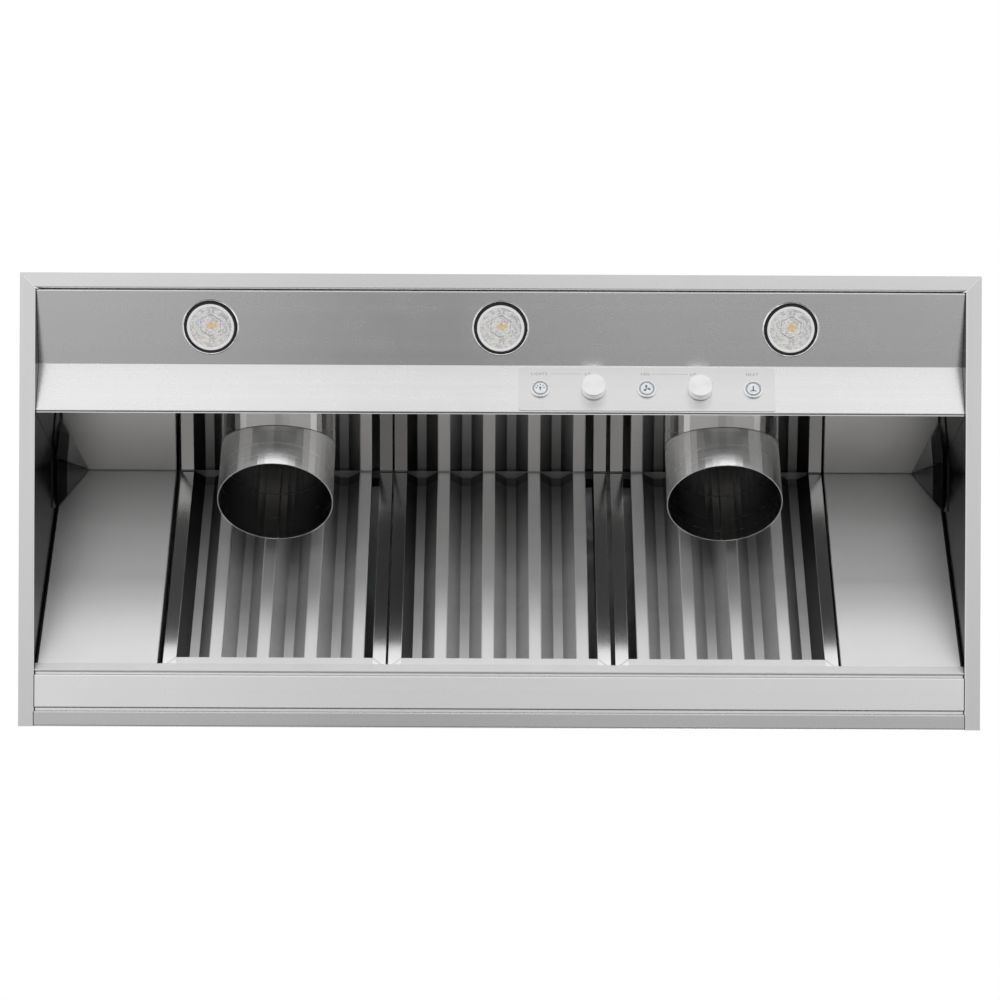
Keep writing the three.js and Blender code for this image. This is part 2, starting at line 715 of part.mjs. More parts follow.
/** Full-width trough: its front rim rests on the lip rail's hem, its rear one on the back flange. */
function dripTray() {
  const front = railFoot[0] + 2 * sheet + seat;
  const rear = backLipY - 3.7;
  const frontRimZ = railFoot[1] + lipHem + seat;
  const rearRimZ = backHem + sheet + seat;
  const hook = backLipY + sheet + seat;
  const section = foldedSheet([
    [front - trayRim, frontRimZ], [front, frontRimZ], [front, trayRise], [rear, trayRise],
    [rear, rearRimZ], [hook, rearRimZ], [hook, rearRimZ - 3],
  ], sheet, 0.4, 2);
  const end = wallX - trayEndGap;
  const capFoot = trayRise + 0.2;
  const cap = (x) => block(x, x + sheet, front + sheet, rear - sheet, capFoot, trayRise + trayDepth);
  return join(alongX(section, -end, end), cap(-end), cap(end - sheet));
}

add('filter_lip_rail', lipRail(), brushed());
add('filter_top_channel', topChannel(), galvanised());
add('drip_tray', dripTray(), brushed());

// ---- Corner gussets --------------------------------------------------------------------------

/** Folded triangle: a flange on the side wall and a sloping face up to the panel's edge. */
function cornerGusset() {
  const gussetRise = panelTop - gussetDrop;
  const wall = -wallX + seat;
  const section = foldedSheet([
    [wall + gussetSheet, gussetRise - gussetFlange], [wall + gussetSheet, gussetRise],
    [wall + gussetReach, panelTop - 1],
  ], gussetSheet, 0.6);
  // between the heat-lamp panel and the bank
  const clear = 1.5 * seat;
  const panelY = (z) => panelLine(z) + clear / up.z;
  const bankY = (z) => lip.y - (z - lip.z) / Math.tan(slope) - clear / Math.sin(slope);
  const apexZ = (bankY(0) - panelY(0)) / (up.y / up.z + 1 / Math.tan(slope));
  const wedge = alongX([[panelY(0), 0], [bankY(0), 0], [bankY(apexZ), apexZ]], -width / 2, 0);
  const plate = alongY(section, panelY(gussetRise), bankY(gussetRise));
  return common(plate, wedge);
}

add('left_corner_gusset', cornerGusset(), brushed());
add('right_corner_gusset', mirroredX(cornerGusset()), brushed());

// ---- Blower ----------------------------------------------------------------------------------

const housingWidth = 2 * collarRadius;
const scrollCentre = { y: backY - sheet - scrollSeat - scrollRadius, z: topZ - scrollDrop };
const tongue = 75; // degrees from +Y where the scroll starts
const outletFront = collarY - collarRadius;
const outletTop = topZ - sheet - seat; // against the underside of the back wall's top flange

/** The scroll's outline: a spiral wrapper that opens into the outlet under the top panel. */
function scrollOutline(inset, rise) {
  const { y, z } = scrollCentre;
  const at = (degrees, r) => [y + r * Math.cos(rad(degrees)), z + r * Math.sin(rad(degrees))];
  const outline = [
    [y + scrollRadius - inset, outletTop + rise], [outletFront + inset, outletTop + rise],
    [outletFront + inset, outletTop - 10 + inset], at(tongue - 4 * inset, scrollStart + 0.2 * inset),
  ];
  for (let degrees = tongue; degrees <= 360; degrees += 19) {
    const growth = (degrees - tongue) / (360 - tongue);
    outline.push(at(degrees, scrollStart + (scrollRadius - scrollStart) * growth - inset));
  }
  return outline;
}

/** Turns a solid drawn about Z so that its axis runs along +X through the wheel's centre. */
const onShaft = (g) => g.clone().rotateY(Math.PI / 2).translate(0, scrollCentre.y, scrollCentre.z);

function blowerHousing() {
  const w = housingWidth / 2;
  const outer = alongX(scrollOutline(0, 0), -w, w);
  const inner = alongX(scrollOutline(sheet, 10), -w + sheet, w - sheet);
  const inlets = onShaft(rod(inletRadius, -w - 9, w + 9, 24));
  const lips = [-1, 1].map((s) => onShaft(moved(turned([
    [inletRadius, 0], [inletRadius + 3, 0], [inletRadius + 6, 5], [inletRadius + 4, 5], [inletRadius, 2],
  ], 24).scale(1, 1, s), 0, 0, s * (w - sheet / 2))));
  return join(cut(outer, inner, inlets), ...lips);
}

/** Squirrel cage: forward-curved blades between end rings, on a centre plate with its shaft. */
function blowerWheel() {
  const w = wheelWidth / 2;
  const blade = [];
  for (let k = 0; k <= 1; k++) {
    const r = wheelEye + (wheelRadius - wheelEye) * k;
    const lead = 0.16 * k;
    blade.push([r * Math.cos(lead), r * Math.sin(lead)]);
  }
  const inside = blade.map(([x, y]) => [x, y + 0.9]).reverse();
  const bladeSolid = alongZ([...blade, ...inside], -w + 1, w - 1);
  const cage = [];
  for (let k = 0; k < blades; k++) cage.push(bladeSolid.clone().rotateZ(2 * Math.PI * k / blades));
  const ring = (z) => tube(wheelRadius + 1, wheelEye - 1, z, z + 3, 24);
  const plate = rod(wheelEye + 2, -1, 1, 24);
  const hub = rod(10, -1, 12, 20);
  const shaft = rod(motorShaft, motorFront - motorShaftHidden, 12, 16);
  return onShaft(join(mergedSolid(cage), ring(-w), ring(w - 3), plate, hub, shaft));
}

const mergedSolid = (parts) => mergeGeometries(parts.map((g) => g.index ? g.toNonIndexed() : g));
const motorFront = -8;

function blowerMotor() {
  const side = -housingWidth / 2 - sheet; // just outside the housing's side
  const tail = motorFront - motorLength;
  const slim = motorRadius - motorEdge;
  const body = turned([
    [0, tail], [slim, tail], [motorRadius, tail + motorEdge],
    [motorRadius, motorFront - motorEdge], [slim, motorFront], [0, motorFront],
  ], 24);
  const half = motorArmWidth / 2;
  const armTop = side - 3 * motorArmSheet;
  const arm = block(slim, motorArmReach, -half, half, armTop - motorArmSheet, armTop);
  const padTop = side + sheet - seat;
  const pad = block(motorArmReach - half, motorArmReach, -half, half, armTop - sheet, padTop);
  const arms = [0, 1, 2].map((k) => join(arm, pad).rotateZ(rad(90 + 120 * k)));
  const bore = rod(motorShaft + 0.1, motorFront - motorShaftHidden - 2, motorFront + 1, 20);
  return onShaft(cut(join(body, ...arms), bore));
}

add('blower_housing', blowerHousing(), galvanised());
add('blower_wheel', blowerWheel(), galvanised());
add('blower_motor', blowerMotor(), black());

// ---- Duct collar and damper ------------------------------------------------------------------

const collarGroup = face(collarY, bodyHeight, 0, 1);

function ductCollar() {
  const outer = collarRadius;
  const inner = collarRadius - sheet;
  const bead = collarHeight - 14;
  const body = turned([
    [inner, seat], [outer + collarFlange, seat], [outer + collarFlange, seat + sheet],
    [outer, seat + sheet], [outer, bead - 3], [outer + 2.5, bead], [outer, bead + 3], [outer, collarHeight],
    [inner, collarHeight],
  ], 36);
  const stopZ = damperHeight - flapSheet / 2 - seat;
  const stop = block(inner - 7, inner + sheet / 2, -5, 5, stopZ - 1.5, stopZ);
  const stops = [60, 120, 240, 300].map((a) => stop.clone().rotateZ(rad(a)));
  return join(body, ...stops);
}

function damperPin() {
  return rod(pinRadius, -collarRadius + sheet + seat, collarRadius - sheet - seat, 16)
    .rotateY(Math.PI / 2).translate(0, 0, damperHeight);
}

/** Half disc with two knuckles round the pin; side is -1 for the front flap and 1 for the back. */
function damperFlap(side) {
  const r = collarRadius - sheet - 2;
  const gap = knuckle + 1;
  const outline = [];
  const start = Math.asin(gap / r);
  for (let k = 0; k <= 16; k++) {
    const a = start + (Math.PI - 2 * start) * k / 16;
    outline.push([r * Math.cos(a), side * r * Math.sin(a)]);
  }
  const plate = alongZ(outline, damperHeight - flapSheet / 2, damperHeight + flapSheet / 2);
  const places = side < 0 ? [-70, 20] : [-20, 70];
  const knuckles = places.map((x) => {
    const sleeve = tube(knuckle, pinRadius + 0.1, x - 9, x + 9, 12).rotateY(Math.PI / 2);
    const tabEnds = [side * (knuckle - 0.8), side * (gap + 2)].sort((a, b) => a - b);
    const tab = block(x - 9, x + 9, ...tabEnds, -flapSheet / 2, flapSheet / 2);
    return join(sleeve, tab).translate(0, 0, damperHeight);
  });
  return join(plate, ...knuckles);
}

add('duct_collar', ductCollar(), galvanised(), collarGroup);
add('damper_pin', damperPin(), bright(), collarGroup);
add('front_damper_flap', damperFlap(-1), galvanised(), collarGroup);
add('back_damper_flap', damperFlap(1), galvanised(), collarGroup);

// ---- Electrical boxes ------------------------------------------------------------------------

function junctionBox() {
  const z = bodyHeight + seat;
  const box = block(-boxWidth / 2, boxWidth / 2, -boxDepth / 2, boxDepth / 2, z, z + boxHeight);
  const w = boxWidth / 2 - sheet;
  const d = boxDepth / 2 - sheet;
  const hollow = block(-w, w, -d, d, z + sheet, z + boxHeight + 1);
  const cableEntry = rod(cableHoleRadius, 0, boxWidth, 20).rotateY(Math.PI / 2)
    .translate(0, 0, z + boxHeight / 2);
  const cableHole = rod(cableHoleRadius, z - 1, z + 5, 20);
  return moved(cut(box, hollow, cableEntry, cableHole), boxX, boxY, 0);
}

function junctionCover() {
  const z = bodyHeight + 2 * seat + boxHeight;
  const lid = block(-boxWidth / 2, boxWidth / 2, -boxDepth / 2, boxDepth / 2, z, z + sheet);
  const screws = [-1, 1].map((s) => moved(turned([[0, z + 0.5], [4, z + 0.5], [4, z + sheet + 1],
    [3, z + sheet + 2.2], [0, z + sheet + 2.2]], 16), s * (boxWidth / 2 - 12), 0, 0));
  return moved(join(lid, ...screws), boxX, boxY, 0);
}

function controlModule() {
  const top = bodyHeight - sheet - seat;
  const y = frontY + topFlange + 8;
  const body = block(controlX - moduleWidth / 2, controlX + moduleWidth / 2, y, y + moduleDepth,
    top - moduleHeight, top);
  const notch = rod(cableHoleRadius + 1, top - 30, top + 1, 20).translate(boxX, boxY, 0);
  return cut(body, notch);
}

add('junction_box', junctionBox(), galvanised());
add('junction_box_cover', junctionCover(), galvanised());
add('control_module', controlModule(), grey());

export default hood;
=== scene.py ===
# %% [markdown]
# A range hood insert, seen from straight below
#
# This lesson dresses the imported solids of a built-in range hood insert: a flanged steel casing
# with a sloping filter bank, two round heat-lamp shrouds, three lamps and a row of controls.
# The solids already have their true shapes and places, so most of the work here is in the
# finishes: brushed, polished, spun and galvanised metal, which live on what they reflect.

# %% Load the frame
import math

import bmesh
import bpy
import numpy as np
from mathutils import Matrix, Vector


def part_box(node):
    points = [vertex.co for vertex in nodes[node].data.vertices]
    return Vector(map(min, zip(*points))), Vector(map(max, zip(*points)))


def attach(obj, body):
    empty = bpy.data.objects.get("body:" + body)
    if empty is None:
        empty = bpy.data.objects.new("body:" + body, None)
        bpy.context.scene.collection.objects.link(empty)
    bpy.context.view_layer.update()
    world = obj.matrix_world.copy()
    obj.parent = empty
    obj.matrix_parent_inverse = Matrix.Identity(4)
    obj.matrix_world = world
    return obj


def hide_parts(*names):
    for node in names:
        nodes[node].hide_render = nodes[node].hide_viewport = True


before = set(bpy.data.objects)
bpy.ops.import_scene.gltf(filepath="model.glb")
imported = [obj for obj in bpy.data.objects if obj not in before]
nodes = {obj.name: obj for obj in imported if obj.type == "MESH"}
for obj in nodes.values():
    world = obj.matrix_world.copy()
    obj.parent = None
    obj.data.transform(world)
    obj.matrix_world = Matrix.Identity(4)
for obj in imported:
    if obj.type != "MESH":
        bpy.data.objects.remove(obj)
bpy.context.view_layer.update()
MM = 0.001


# %% [markdown]
# The camera comes first, because every later choice is judged through it. The photograph was
# taken from far below, looking straight up, with the cook's side at the top of the picture.
# A long lens from almost four metres keeps the sides of the casing nearly closed. A half turn
# about X makes the camera look up, and a quarter of a degree of roll matches the slight lean
# of the flange in the picture.

# %% Camera
def add_object(name, data):
    """A new object of the scene that holds the given data."""
    thing = bpy.data.objects.new(name, data)
    bpy.context.scene.collection.objects.link(thing)
    return thing


camera_data = bpy.data.cameras.new("camera")
camera_data.sensor_width = 36.0
camera_data.lens = 115.83
camera_data.shift_x = 0.0008
camera_data.shift_y = 0.0018
camera = add_object("camera", camera_data)
CAMERA_PLACE = Vector((-0.0009, 0.0006, -3.94))
look_up = Matrix.Rotation(math.pi, 4, "X")
roll = Matrix.Rotation(math.radians(0.25), 4, "Z")
camera.matrix_world = Matrix.Translation(CAMERA_PLACE) @ look_up @ roll
bpy.context.scene.camera = camera
bpy.context.scene.view_settings.view_transform = "Standard"
print("camera", tuple(round(v, 4) for v in camera.location), "lens", camera_data.lens)


# %% [markdown]
# Polished steel has no look of its own: it shows the room. In the photograph the room is bright
# on the cook's side, middling straight below, and dim towards the wall. A pale floor far below
# the hood carries that change as a gradient along Y, which each panel then picks up at its own
# angle. Along X it dips left of the middle, as if the camera's stand shaded it. The ramps' stops
# are places on the floor that the panels look at, found by following a camera ray off each one.

# %% Nodes and their links
def new_tree(owner, kind="Material"):
    """Empties the node tree of a material or world and returns it with its output node."""
    owner.use_nodes = True
    owner.node_tree.nodes.clear()
    return owner.node_tree, owner.node_tree.nodes.new("ShaderNodeOutput" + kind)


def add_node(tree, kind, operation=None, **constants):
    """A node of the given kind, with its operation and the constants of the inputs that are named."""
    node = tree.nodes.new("ShaderNode" + kind)
    if operation:
        node.operation = operation
    for label, value in constants.items():
        node.inputs[label].default_value = value
    return node


def feed(tree, socket, value):
    """Gives an input its value: a link where it is a socket, or else a constant. None leaves it alone."""
    if isinstance(value, bpy.types.NodeSocket):
        tree.links.new(value, socket)
    elif value is not None:
        socket.default_value = value


def object_place(tree):
    """The shaded point in the object's own coordinates, in metres."""
    return tree.nodes.new("ShaderNodeTexCoord").outputs["Object"]


print("node helpers ready")


# %% Arithmetic, colours and mixes in node trees
def add_math(tree, operation, first, second=None, clamp=False):
    """A math node. Each operand is a socket or a plain number."""
    node = add_node(tree, "Math", operation)
    node.use_clamp = clamp
    feed(tree, node.inputs[0], first)
    feed(tree, node.inputs[1], second)
    return node.outputs["Value"]


def add_vector_math(tree, operation, first, second=None):
    """A vector math node. Each operand is a socket or a vector; SCALE has a number as its second."""
    node = add_node(tree, "VectorMath", operation)
    feed(tree, node.inputs[0], first)
    feed(tree, node.inputs["Scale" if operation == "SCALE" else 1], second)
    return node.outputs["Value" if operation in ("DOT_PRODUCT", "LENGTH") else "Vector"]


def as_colour(value):
    """A grey level or an RGB triple as the four numbers of a colour. A socket stays as it is."""
    if isinstance(value, bpy.types.NodeSocket):
        return value
    return (value, value, value, 1.0) if isinstance(value, (int, float)) else (*value, 1.0)


def blend_colours(tree, share, dark, light):
    """Mixes two colours by a share from 0 to 1."""
    node = tree.nodes.new("ShaderNodeMix")
    node.data_type = "RGBA"
    feed(tree, node.inputs["A"], as_colour(dark))
    feed(tree, node.inputs["B"], as_colour(light))
    tree.links.new(share, node.inputs["Factor"])
    return node.outputs["Result"]


def mix_shaders(tree, share, first, second):
    """A mix of two shaders, which is all of the second where share is 1."""
    node = add_node(tree, "MixShader")
    for socket, value in zip(node.inputs, (share, first, second)):
        tree.links.new(value, socket)
    return node.outputs["Shader"]


print("arithmetic and colour helpers ready")


# %% Floor
FLOOR_Z = -4.6
FLOOR_HALF = 14.0


def floor_mesh(half, z):
    """One square of floor, from -half to +half each way, at height z."""
    corners = [(-half, -half, z), (half, -half, z), (half, half, z), (-half, half, z)]
    mesh = bpy.data.meshes.new("studio_floor")
    mesh.from_pydata(corners, [], [(0, 1, 2, 3)])
    return mesh


floor = add_object("studio_floor", floor_mesh(FLOOR_HALF, FLOOR_Z))
print("floor at", FLOOR_Z, "m")


# %% Floor paint and its tones
FLOOR_PAINT = 0.92
FLOOR_TONES = [
    (-12.0, 0.50), (-8.0, 0.60), (-5.6, 1.0), (-1.2, 1.0), (-0.6, 0.98), (0.0, 0.93),
    (0.6, 0.84), (1.2, 0.66), (2.8, 0.43), (3.8, 0.28), (5.4, 0.10), (12.0, 0.08),
]
FLOOR_SHADES = [
    (-1.8, 1.0), (-1.0, 0.92), (-0.62, 0.86), (-0.40, 0.44), (-0.08, 0.44), (0.10, 0.80),
    (0.55, 0.82), (0.8, 0.68), (0.95, 0.68), (1.4, 0.86), (2.0, 1.0),
]
SHADE_DEPTH = [(-1.0, 0.45), (0.6, 0.5), (1.6, 1.0)]


def floor_material():
    """Matt pale paint for ordinary rays, and the room's tones for rays off metal and glass."""
    material = bpy.data.materials.new("studio_floor_paint")
    tree, output = new_tree(material)
    split = add_node(tree, "SeparateXYZ")
    tree.links.new(object_place(tree), split.inputs["Vector"])

    def tone_along(axis, stops):
        """The tone at the shaded point's place along an axis, on straight blends between the stops."""
        share = add_node(tree, "MapRange", **{"From Min": -FLOOR_HALF, "From Max": FLOOR_HALF})
        ramp = add_node(tree, "ValToRGB")
        first, *rest = [((at + FLOOR_HALF) / (2 * FLOOR_HALF), as_colour(tone)) for at, tone in stops]
        elements = ramp.color_ramp.elements
        elements.remove(elements[-1])
        elements[0].position, elements[0].color = first
        for position, colour in rest:
            elements.new(position).color = colour
        tree.links.new(split.outputs[axis], share.inputs["Value"])
        tree.links.new(share.outputs["Result"], ramp.inputs["Fac"])
        return ramp.outputs["Color"]

    shade = blend_colours(tree, tone_along("Y", SHADE_DEPTH), 1.0, tone_along("X", FLOOR_SHADES))
    tones = add_vector_math(tree, "MULTIPLY", tone_along("Y", FLOOR_TONES), shade)
    plain = add_node(tree, "Emission")
    tree.links.new(tones, plain.inputs["Color"])
    paint = add_node(tree, "BsdfDiffuse", Color=as_colour(FLOOR_PAINT))
    ray = add_node(tree, "LightPath").outputs
    either = add_math(tree, "MAXIMUM", ray["Is Glossy Ray"], ray["Is Transmission Ray"])
    surface = mix_shaders(tree, either, paint.outputs["BSDF"], plain.outputs["Emission"])
    tree.links.new(surface, output.inputs["Surface"])
    return material


floor.data.materials.append(floor_material())
print("floor tones:", len(FLOOR_TONES), "along Y and", len(FLOOR_SHADES), "along X")


# %% World
SKY_SEEN = 1.0
SKY_UNSEEN = 0.85
world = bpy.data.worlds.new("studio")
bpy.context.scene.world = world
sky, sky_output = new_tree(world, "World")
dim_sky, white_sky = (
    add_node(sky, "Background", Color=as_colour(1.0), Strength=strength).outputs["Background"]
    for strength in (SKY_UNSEEN, SKY_SEEN)
)
sky_ray = add_node(sky, "LightPath").outputs
sky_direct = add_math(sky, "MAXIMUM", sky_ray["Is Camera Ray"], sky_ray["Is Glossy Ray"])
sky_any = add_math(sky, "MAXIMUM", sky_direct, sky_ray["Is Transmission Ray"])
sky.links.new(mix_shaders(sky, sky_any, dim_sky, white_sky), sky_output.inputs["Surface"])
print("sky strengths:", SKY_SEEN, "where it is seen and", SKY_UNSEEN, "elsewhere")


# %% [markdown]
# Two soft lamps do the rest. The key lamp stands low on the cook's side, so that rounded edges
# and knobs get a highlight there. The fill hangs overhead, for the views from above.

# %% Lamps
def area_lamp(name, place, target, width, height, brightness):
    """A soft rectangular lamp at place, turned to face target.
    Its power is its brightness times pi times its area."""
    data = bpy.data.lights.new(name, "AREA")
    data.shape = "RECTANGLE"
    data.size = width
    data.size_y = height
    data.energy = brightness * math.pi * width * height
    facing = (Vector(target) - Vector(place)).to_track_quat("-Z", "Y").to_matrix().to_4x4()
    add_object(name, data).matrix_world = Matrix.Translation(place) @ facing


area_lamp("key_lamp", (0.0, -2.8, -0.85), (0, 0, 0.05), 3.2, 0.9, 1.1)
area_lamp("fill_lamp", (1.5, 2.0, 3.5), (0, 0, 0.2), 2.5, 2.5, 2.5)


# %% [markdown]
# Brushed steel is scratched in one direction by an abrasive belt. The scratches are far finer
# than a pixel, so they are never seen one by one. They show as faint streaks of tone, and as a
# reflection that smears across the grain and stays sharp along it. A noise stretched nearly two
# hundred times along the grain gives both: its broad copy drives tone and roughness, and its
# fine copy drives a very shallow bump.

# %% Belt grain and handling marks as node groups
def new_group(name, inputs, outputs):
    """A shader node group with its two end nodes. Inputs are (name, kind, default) and outputs
    (name, kind), where a kind is Float or Vector."""
    group = bpy.data.node_groups.new(name, "ShaderNodeTree")
    for label, kind, default in inputs:
        socket = group.interface.new_socket(label, in_out="INPUT", socket_type="NodeSocket" + kind)
        socket.default_value = default
    for label, kind in outputs:
        group.interface.new_socket(label, in_out="OUTPUT", socket_type="NodeSocket" + kind)
    return group, group.nodes.new("NodeGroupInput").outputs, group.nodes.new("NodeGroupOutput").inputs


def add_noise(tree, vector, scale, detail=2.0, rough=0.5):
    """A noise texture, read at a vector."""
    noise = add_node(tree, "TexNoise", Scale=scale, Detail=detail, Roughness=rough)
    tree.links.new(vector, noise.inputs["Vector"])
    return noise.outputs["Fac"]


def build_grain_group():
    """Belt grain: object coordinates squeezed by Stretch, read by a broad and a fine noise.
    Tone varies round 0.5 with the broad one, and Height with the fine one."""
    group, source, sink = new_group(
        "belt_grain",
        [("Stretch", "Vector", (6, 500, 500)), ("Broad", "Float", 0.12)],
        [("Tone", "Float"), ("Height", "Float")],
    )
    squeezed = add_vector_math(group, "MULTIPLY", object_place(group), source["Stretch"])
    eased = add_vector_math(group, "SCALE", squeezed, source["Broad"])
    group.links.new(add_noise(group, eased, 1.0, 3.0, 0.6), sink["Tone"])
    group.links.new(add_noise(group, squeezed, 2.0, 2.0, 0.6), sink["Height"])
    return group


def build_smudge_group():
    """Handling marks: the product of a soft noise and a finer one, sharpened to patches from 0 to 1."""
    group, source, sink = new_group("handling_smudges", [("Size", "Float", 9.0)], [("Amount", "Float")])
    scaled = add_vector_math(group, "SCALE", object_place(group), source["Size"])
    soft = add_noise(group, scaled, 1.0, 3.0, 0.55)
    patchy = add_noise(group, scaled, 4.3, 4.0, 0.65)
    both = add_math(group, "MULTIPLY", soft, patchy)
    group.links.new(add_math(group, "MULTIPLY", both, 2.6, clamp=True), sink["Amount"])
    return group


GRAIN = build_grain_group()
SMUDGE = build_smudge_group()
print("groups:", GRAIN.name, SMUDGE.name)


# %% [markdown]
# Every metal here is the same recipe with its own numbers: a base tone that the streaks move a
# little, a roughness that smudges raise, and a shallow bump along the grain. One function builds
# it. The panels differ in direction of grain, in how far they are polished and in tone. Their
# tones are set part by part as painted light and shade: the fascia, fillers and tray are painted
# lighter, and the side and back walls, the gussets and the rear baffles darker.

# %% Helpers for materials
def use_group(tree, group, **values):
    """Places a node group in a tree, sets the inputs that are given by name, and returns its outputs."""
    node = tree.nodes.new("ShaderNodeGroup")
    node.node_tree = group
    for label, value in values.items():
        node.inputs[label].default_value = value
    return node.outputs


def principled(name, **constants):
    """A new material with one Principled shader: the material, its tree and the shader."""
    material = bpy.data.materials.new(name)
    tree, output = new_tree(material)
    shader = add_node(tree, "BsdfPrincipled", **constants)
    tree.links.new(shader.outputs["BSDF"], output.inputs["Surface"])
    return material, tree, shader


def add_spread(tree, value, low, high):
    """Spreads a value from 0..1 to low..high."""
    node = add_node(tree, "MapRange", **{"To Min": low, "To Max": high})
    tree.links.new(value, node.inputs["Value"])
    return node.outputs["Result"]


def weighted_sum(tree, *terms):
    """The sum of two values, each times its weight, kept between 0 and 1."""
    parts = [add_math(tree, "MULTIPLY", value, weight) for value, weight in terms]
    return add_math(tree, "ADD", *parts, clamp=True)


def add_bump(tree, height, depth, strength=1.0):
    """A bump of the given depth in metres."""
    node = add_node(tree, "Bump", Strength=strength, Distance=depth)
    tree.links.new(height, node.inputs["Height"])
    return node.outputs["Normal"]


def set_tangent(tree, shader, direction):
    """Feeds a fixed direction to a shader's tangent, whose own socket can't hold a constant."""
    fixed = add_node(tree, "CombineXYZ", **dict(zip("XYZ", direction)))
    tree.links.new(fixed.outputs["Vector"], shader.inputs["Tangent"])


def link_looks(tree, shader, colour, roughness, normal=None):
    """Links what nearly every material has: base colour, roughness and, if given, a normal."""
    for label, value in (("Base Color", colour), ("Roughness", roughness), ("Normal", normal)):
        if value is not None:
            tree.links.new(value, shader.inputs[label])


print("material helpers ready")


# %% Brushed and polished steel
def steel(
    name, brushing, dark, light, smooth, rough,
    depth=0.000002, stretch=0.7, beyond=(), bow=0.0, edge=1.0,
):
    """Steel brushed one way. The brushing is how often its noise repeats per metre along X, Y and Z,
    and a direction across the grain, along which stretch draws the reflections out. Where beyond is
    given, as tuples of an axis, a middle, a reach, a fade in metres and shares of roughness and tone,
    the sheet has those shares of them past the reach and the fade. A bow leans the reflections down,
    as sagging does. The edge tint is what the sheet keeps of a glancing reflection."""
    grain, across = brushing
    tint = {"Specular Tint": as_colour(edge)}
    material, tree, metal = principled(name, Metallic=1.0, Anisotropic=stretch, **tint)
    set_tangent(tree, metal, across)
    lines = use_group(tree, GRAIN, Stretch=grain)
    marks = use_group(tree, SMUDGE, Size=9.0)["Amount"]
    share = weighted_sum(tree, (lines["Tone"], 0.75), (marks, 0.25))
    haze = weighted_sum(tree, (lines["Tone"], 0.5), (marks, 0.5))
    colour = blend_colours(tree, share, dark, light)
    roughness = add_spread(tree, haze, smooth, rough)
    for axis, middle, reach, fade, rough_share, tone_share in beyond:
        along = add_vector_math(tree, "DOT_PRODUCT", object_place(tree), axis)
        away = add_math(tree, "ABSOLUTE", add_math(tree, "SUBTRACT", along, middle))
        past = add_math(tree, "DIVIDE", add_math(tree, "SUBTRACT", away, reach), fade, clamp=True)
        within = add_math(tree, "SUBTRACT", 1.0, past)
        roughness = add_math(tree, "MULTIPLY", roughness, add_spread(tree, within, rough_share, 1.0))
        colour = add_vector_math(tree, "SCALE", colour, add_spread(tree, within, tone_share, 1.0))
    grooved = add_bump(tree, lines["Height"], depth)
    if bow:
        flat = add_node(tree, "NewGeometry").outputs["Normal"]
        leaning = add_vector_math(tree, "ADD", flat, (0.0, 0.0, -bow))
        tree.links.new(add_vector_math(tree, "NORMALIZE", leaning), grooved.node.inputs["Normal"])
    link_looks(tree, metal, colour, roughness, grooved)
    return material


ALONG_X = ((5.0, 900.0, 900.0), (0.0, 1.0, -1.0))
ALONG_Y = ((900.0, 5.0, 900.0), (1.0, 0.0, 1.0))
print("steel recipe ready")


# %% The walls and the panels in front take their steel
def dress(material, *names):
    """Gives each named CAD node the material, in place of the one it was packed with."""
    for name in names:
        mesh = nodes[name].data
        mesh.materials.clear()
        mesh.materials.append(material)


def dress_steel(label, names, *recipe, **settings):
    """Dresses the named nodes in a steel with a recipe of its own."""
    dress(steel(f"{label}_steel", *recipe, **settings), *names)


WIDE, UP = (1.0, 0.0, 0.0), (0.0, 0.0, 1.0)
EDGE = 0.0003
# Above the flange the walls are painted darker, as painted shade, and their roughness is a little lower.
UPPER_WALL_SHADE_AND_FINISH = [(UP, 0.0, 0.003, EDGE, 0.8, 0.45)]
# The side and back walls are given darker steel than the front wall, as painted shade.
dress_steel("front_wall", ["front_wall"], ALONG_X, 0.74, 0.86, 0.20, 0.34, beyond=UPPER_WALL_SHADE_AND_FINISH)
dress_steel(
    "side_wall", ["left_wall", "right_wall"], ALONG_Y, 0.62, 0.73, 0.10, 0.22,
    stretch=0.3, beyond=UPPER_WALL_SHADE_AND_FINISH, edge=0.34,
)
dress_steel("back_wall", ["back_wall"], ALONG_X, 0.56, 0.68, 0.20, 0.34, beyond=UPPER_WALL_SHADE_AND_FINISH)
dress_steel("fascia", ["light_fascia"], ALONG_X, 0.84, 0.93, 0.20, 0.32)
dress_steel("mirror", ["heat_lamp_panel"], ALONG_X, (0.62, 0.61, 0.60), (0.71, 0.70, 0.69), 0.04, 0.09)
print("walls, fascia and lamp panel dressed")


# %% Filler panels, gussets, rail, tray and cover plate
GAP_SHADOW_WIDTH = 2.6
GUSSET_FLAP = 12.0
filler_low, filler_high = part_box("right_filler_panel")
filler_rise = filler_high.z - filler_low.z
# The fillers are painted almost black along their outer edge, a painted shadow of the gap by the wall, and
# painted darker towards the top, as shade under the lamp panel.
filler_painted_shade = [
    (WIDE, 0.0, filler_high.x - GAP_SHADOW_WIDTH * MM, EDGE, 1.0, 0.04),
    (UP, filler_low.z, filler_rise * 0.6, filler_rise * 0.3, 1.0, 0.55),
]
fillers = ["left_filler_panel", "right_filler_panel"]
dress_steel("filler", fillers, ALONG_X, 0.93, 0.99, 0.42, 0.54, bow=0.14, beyond=filler_painted_shade)
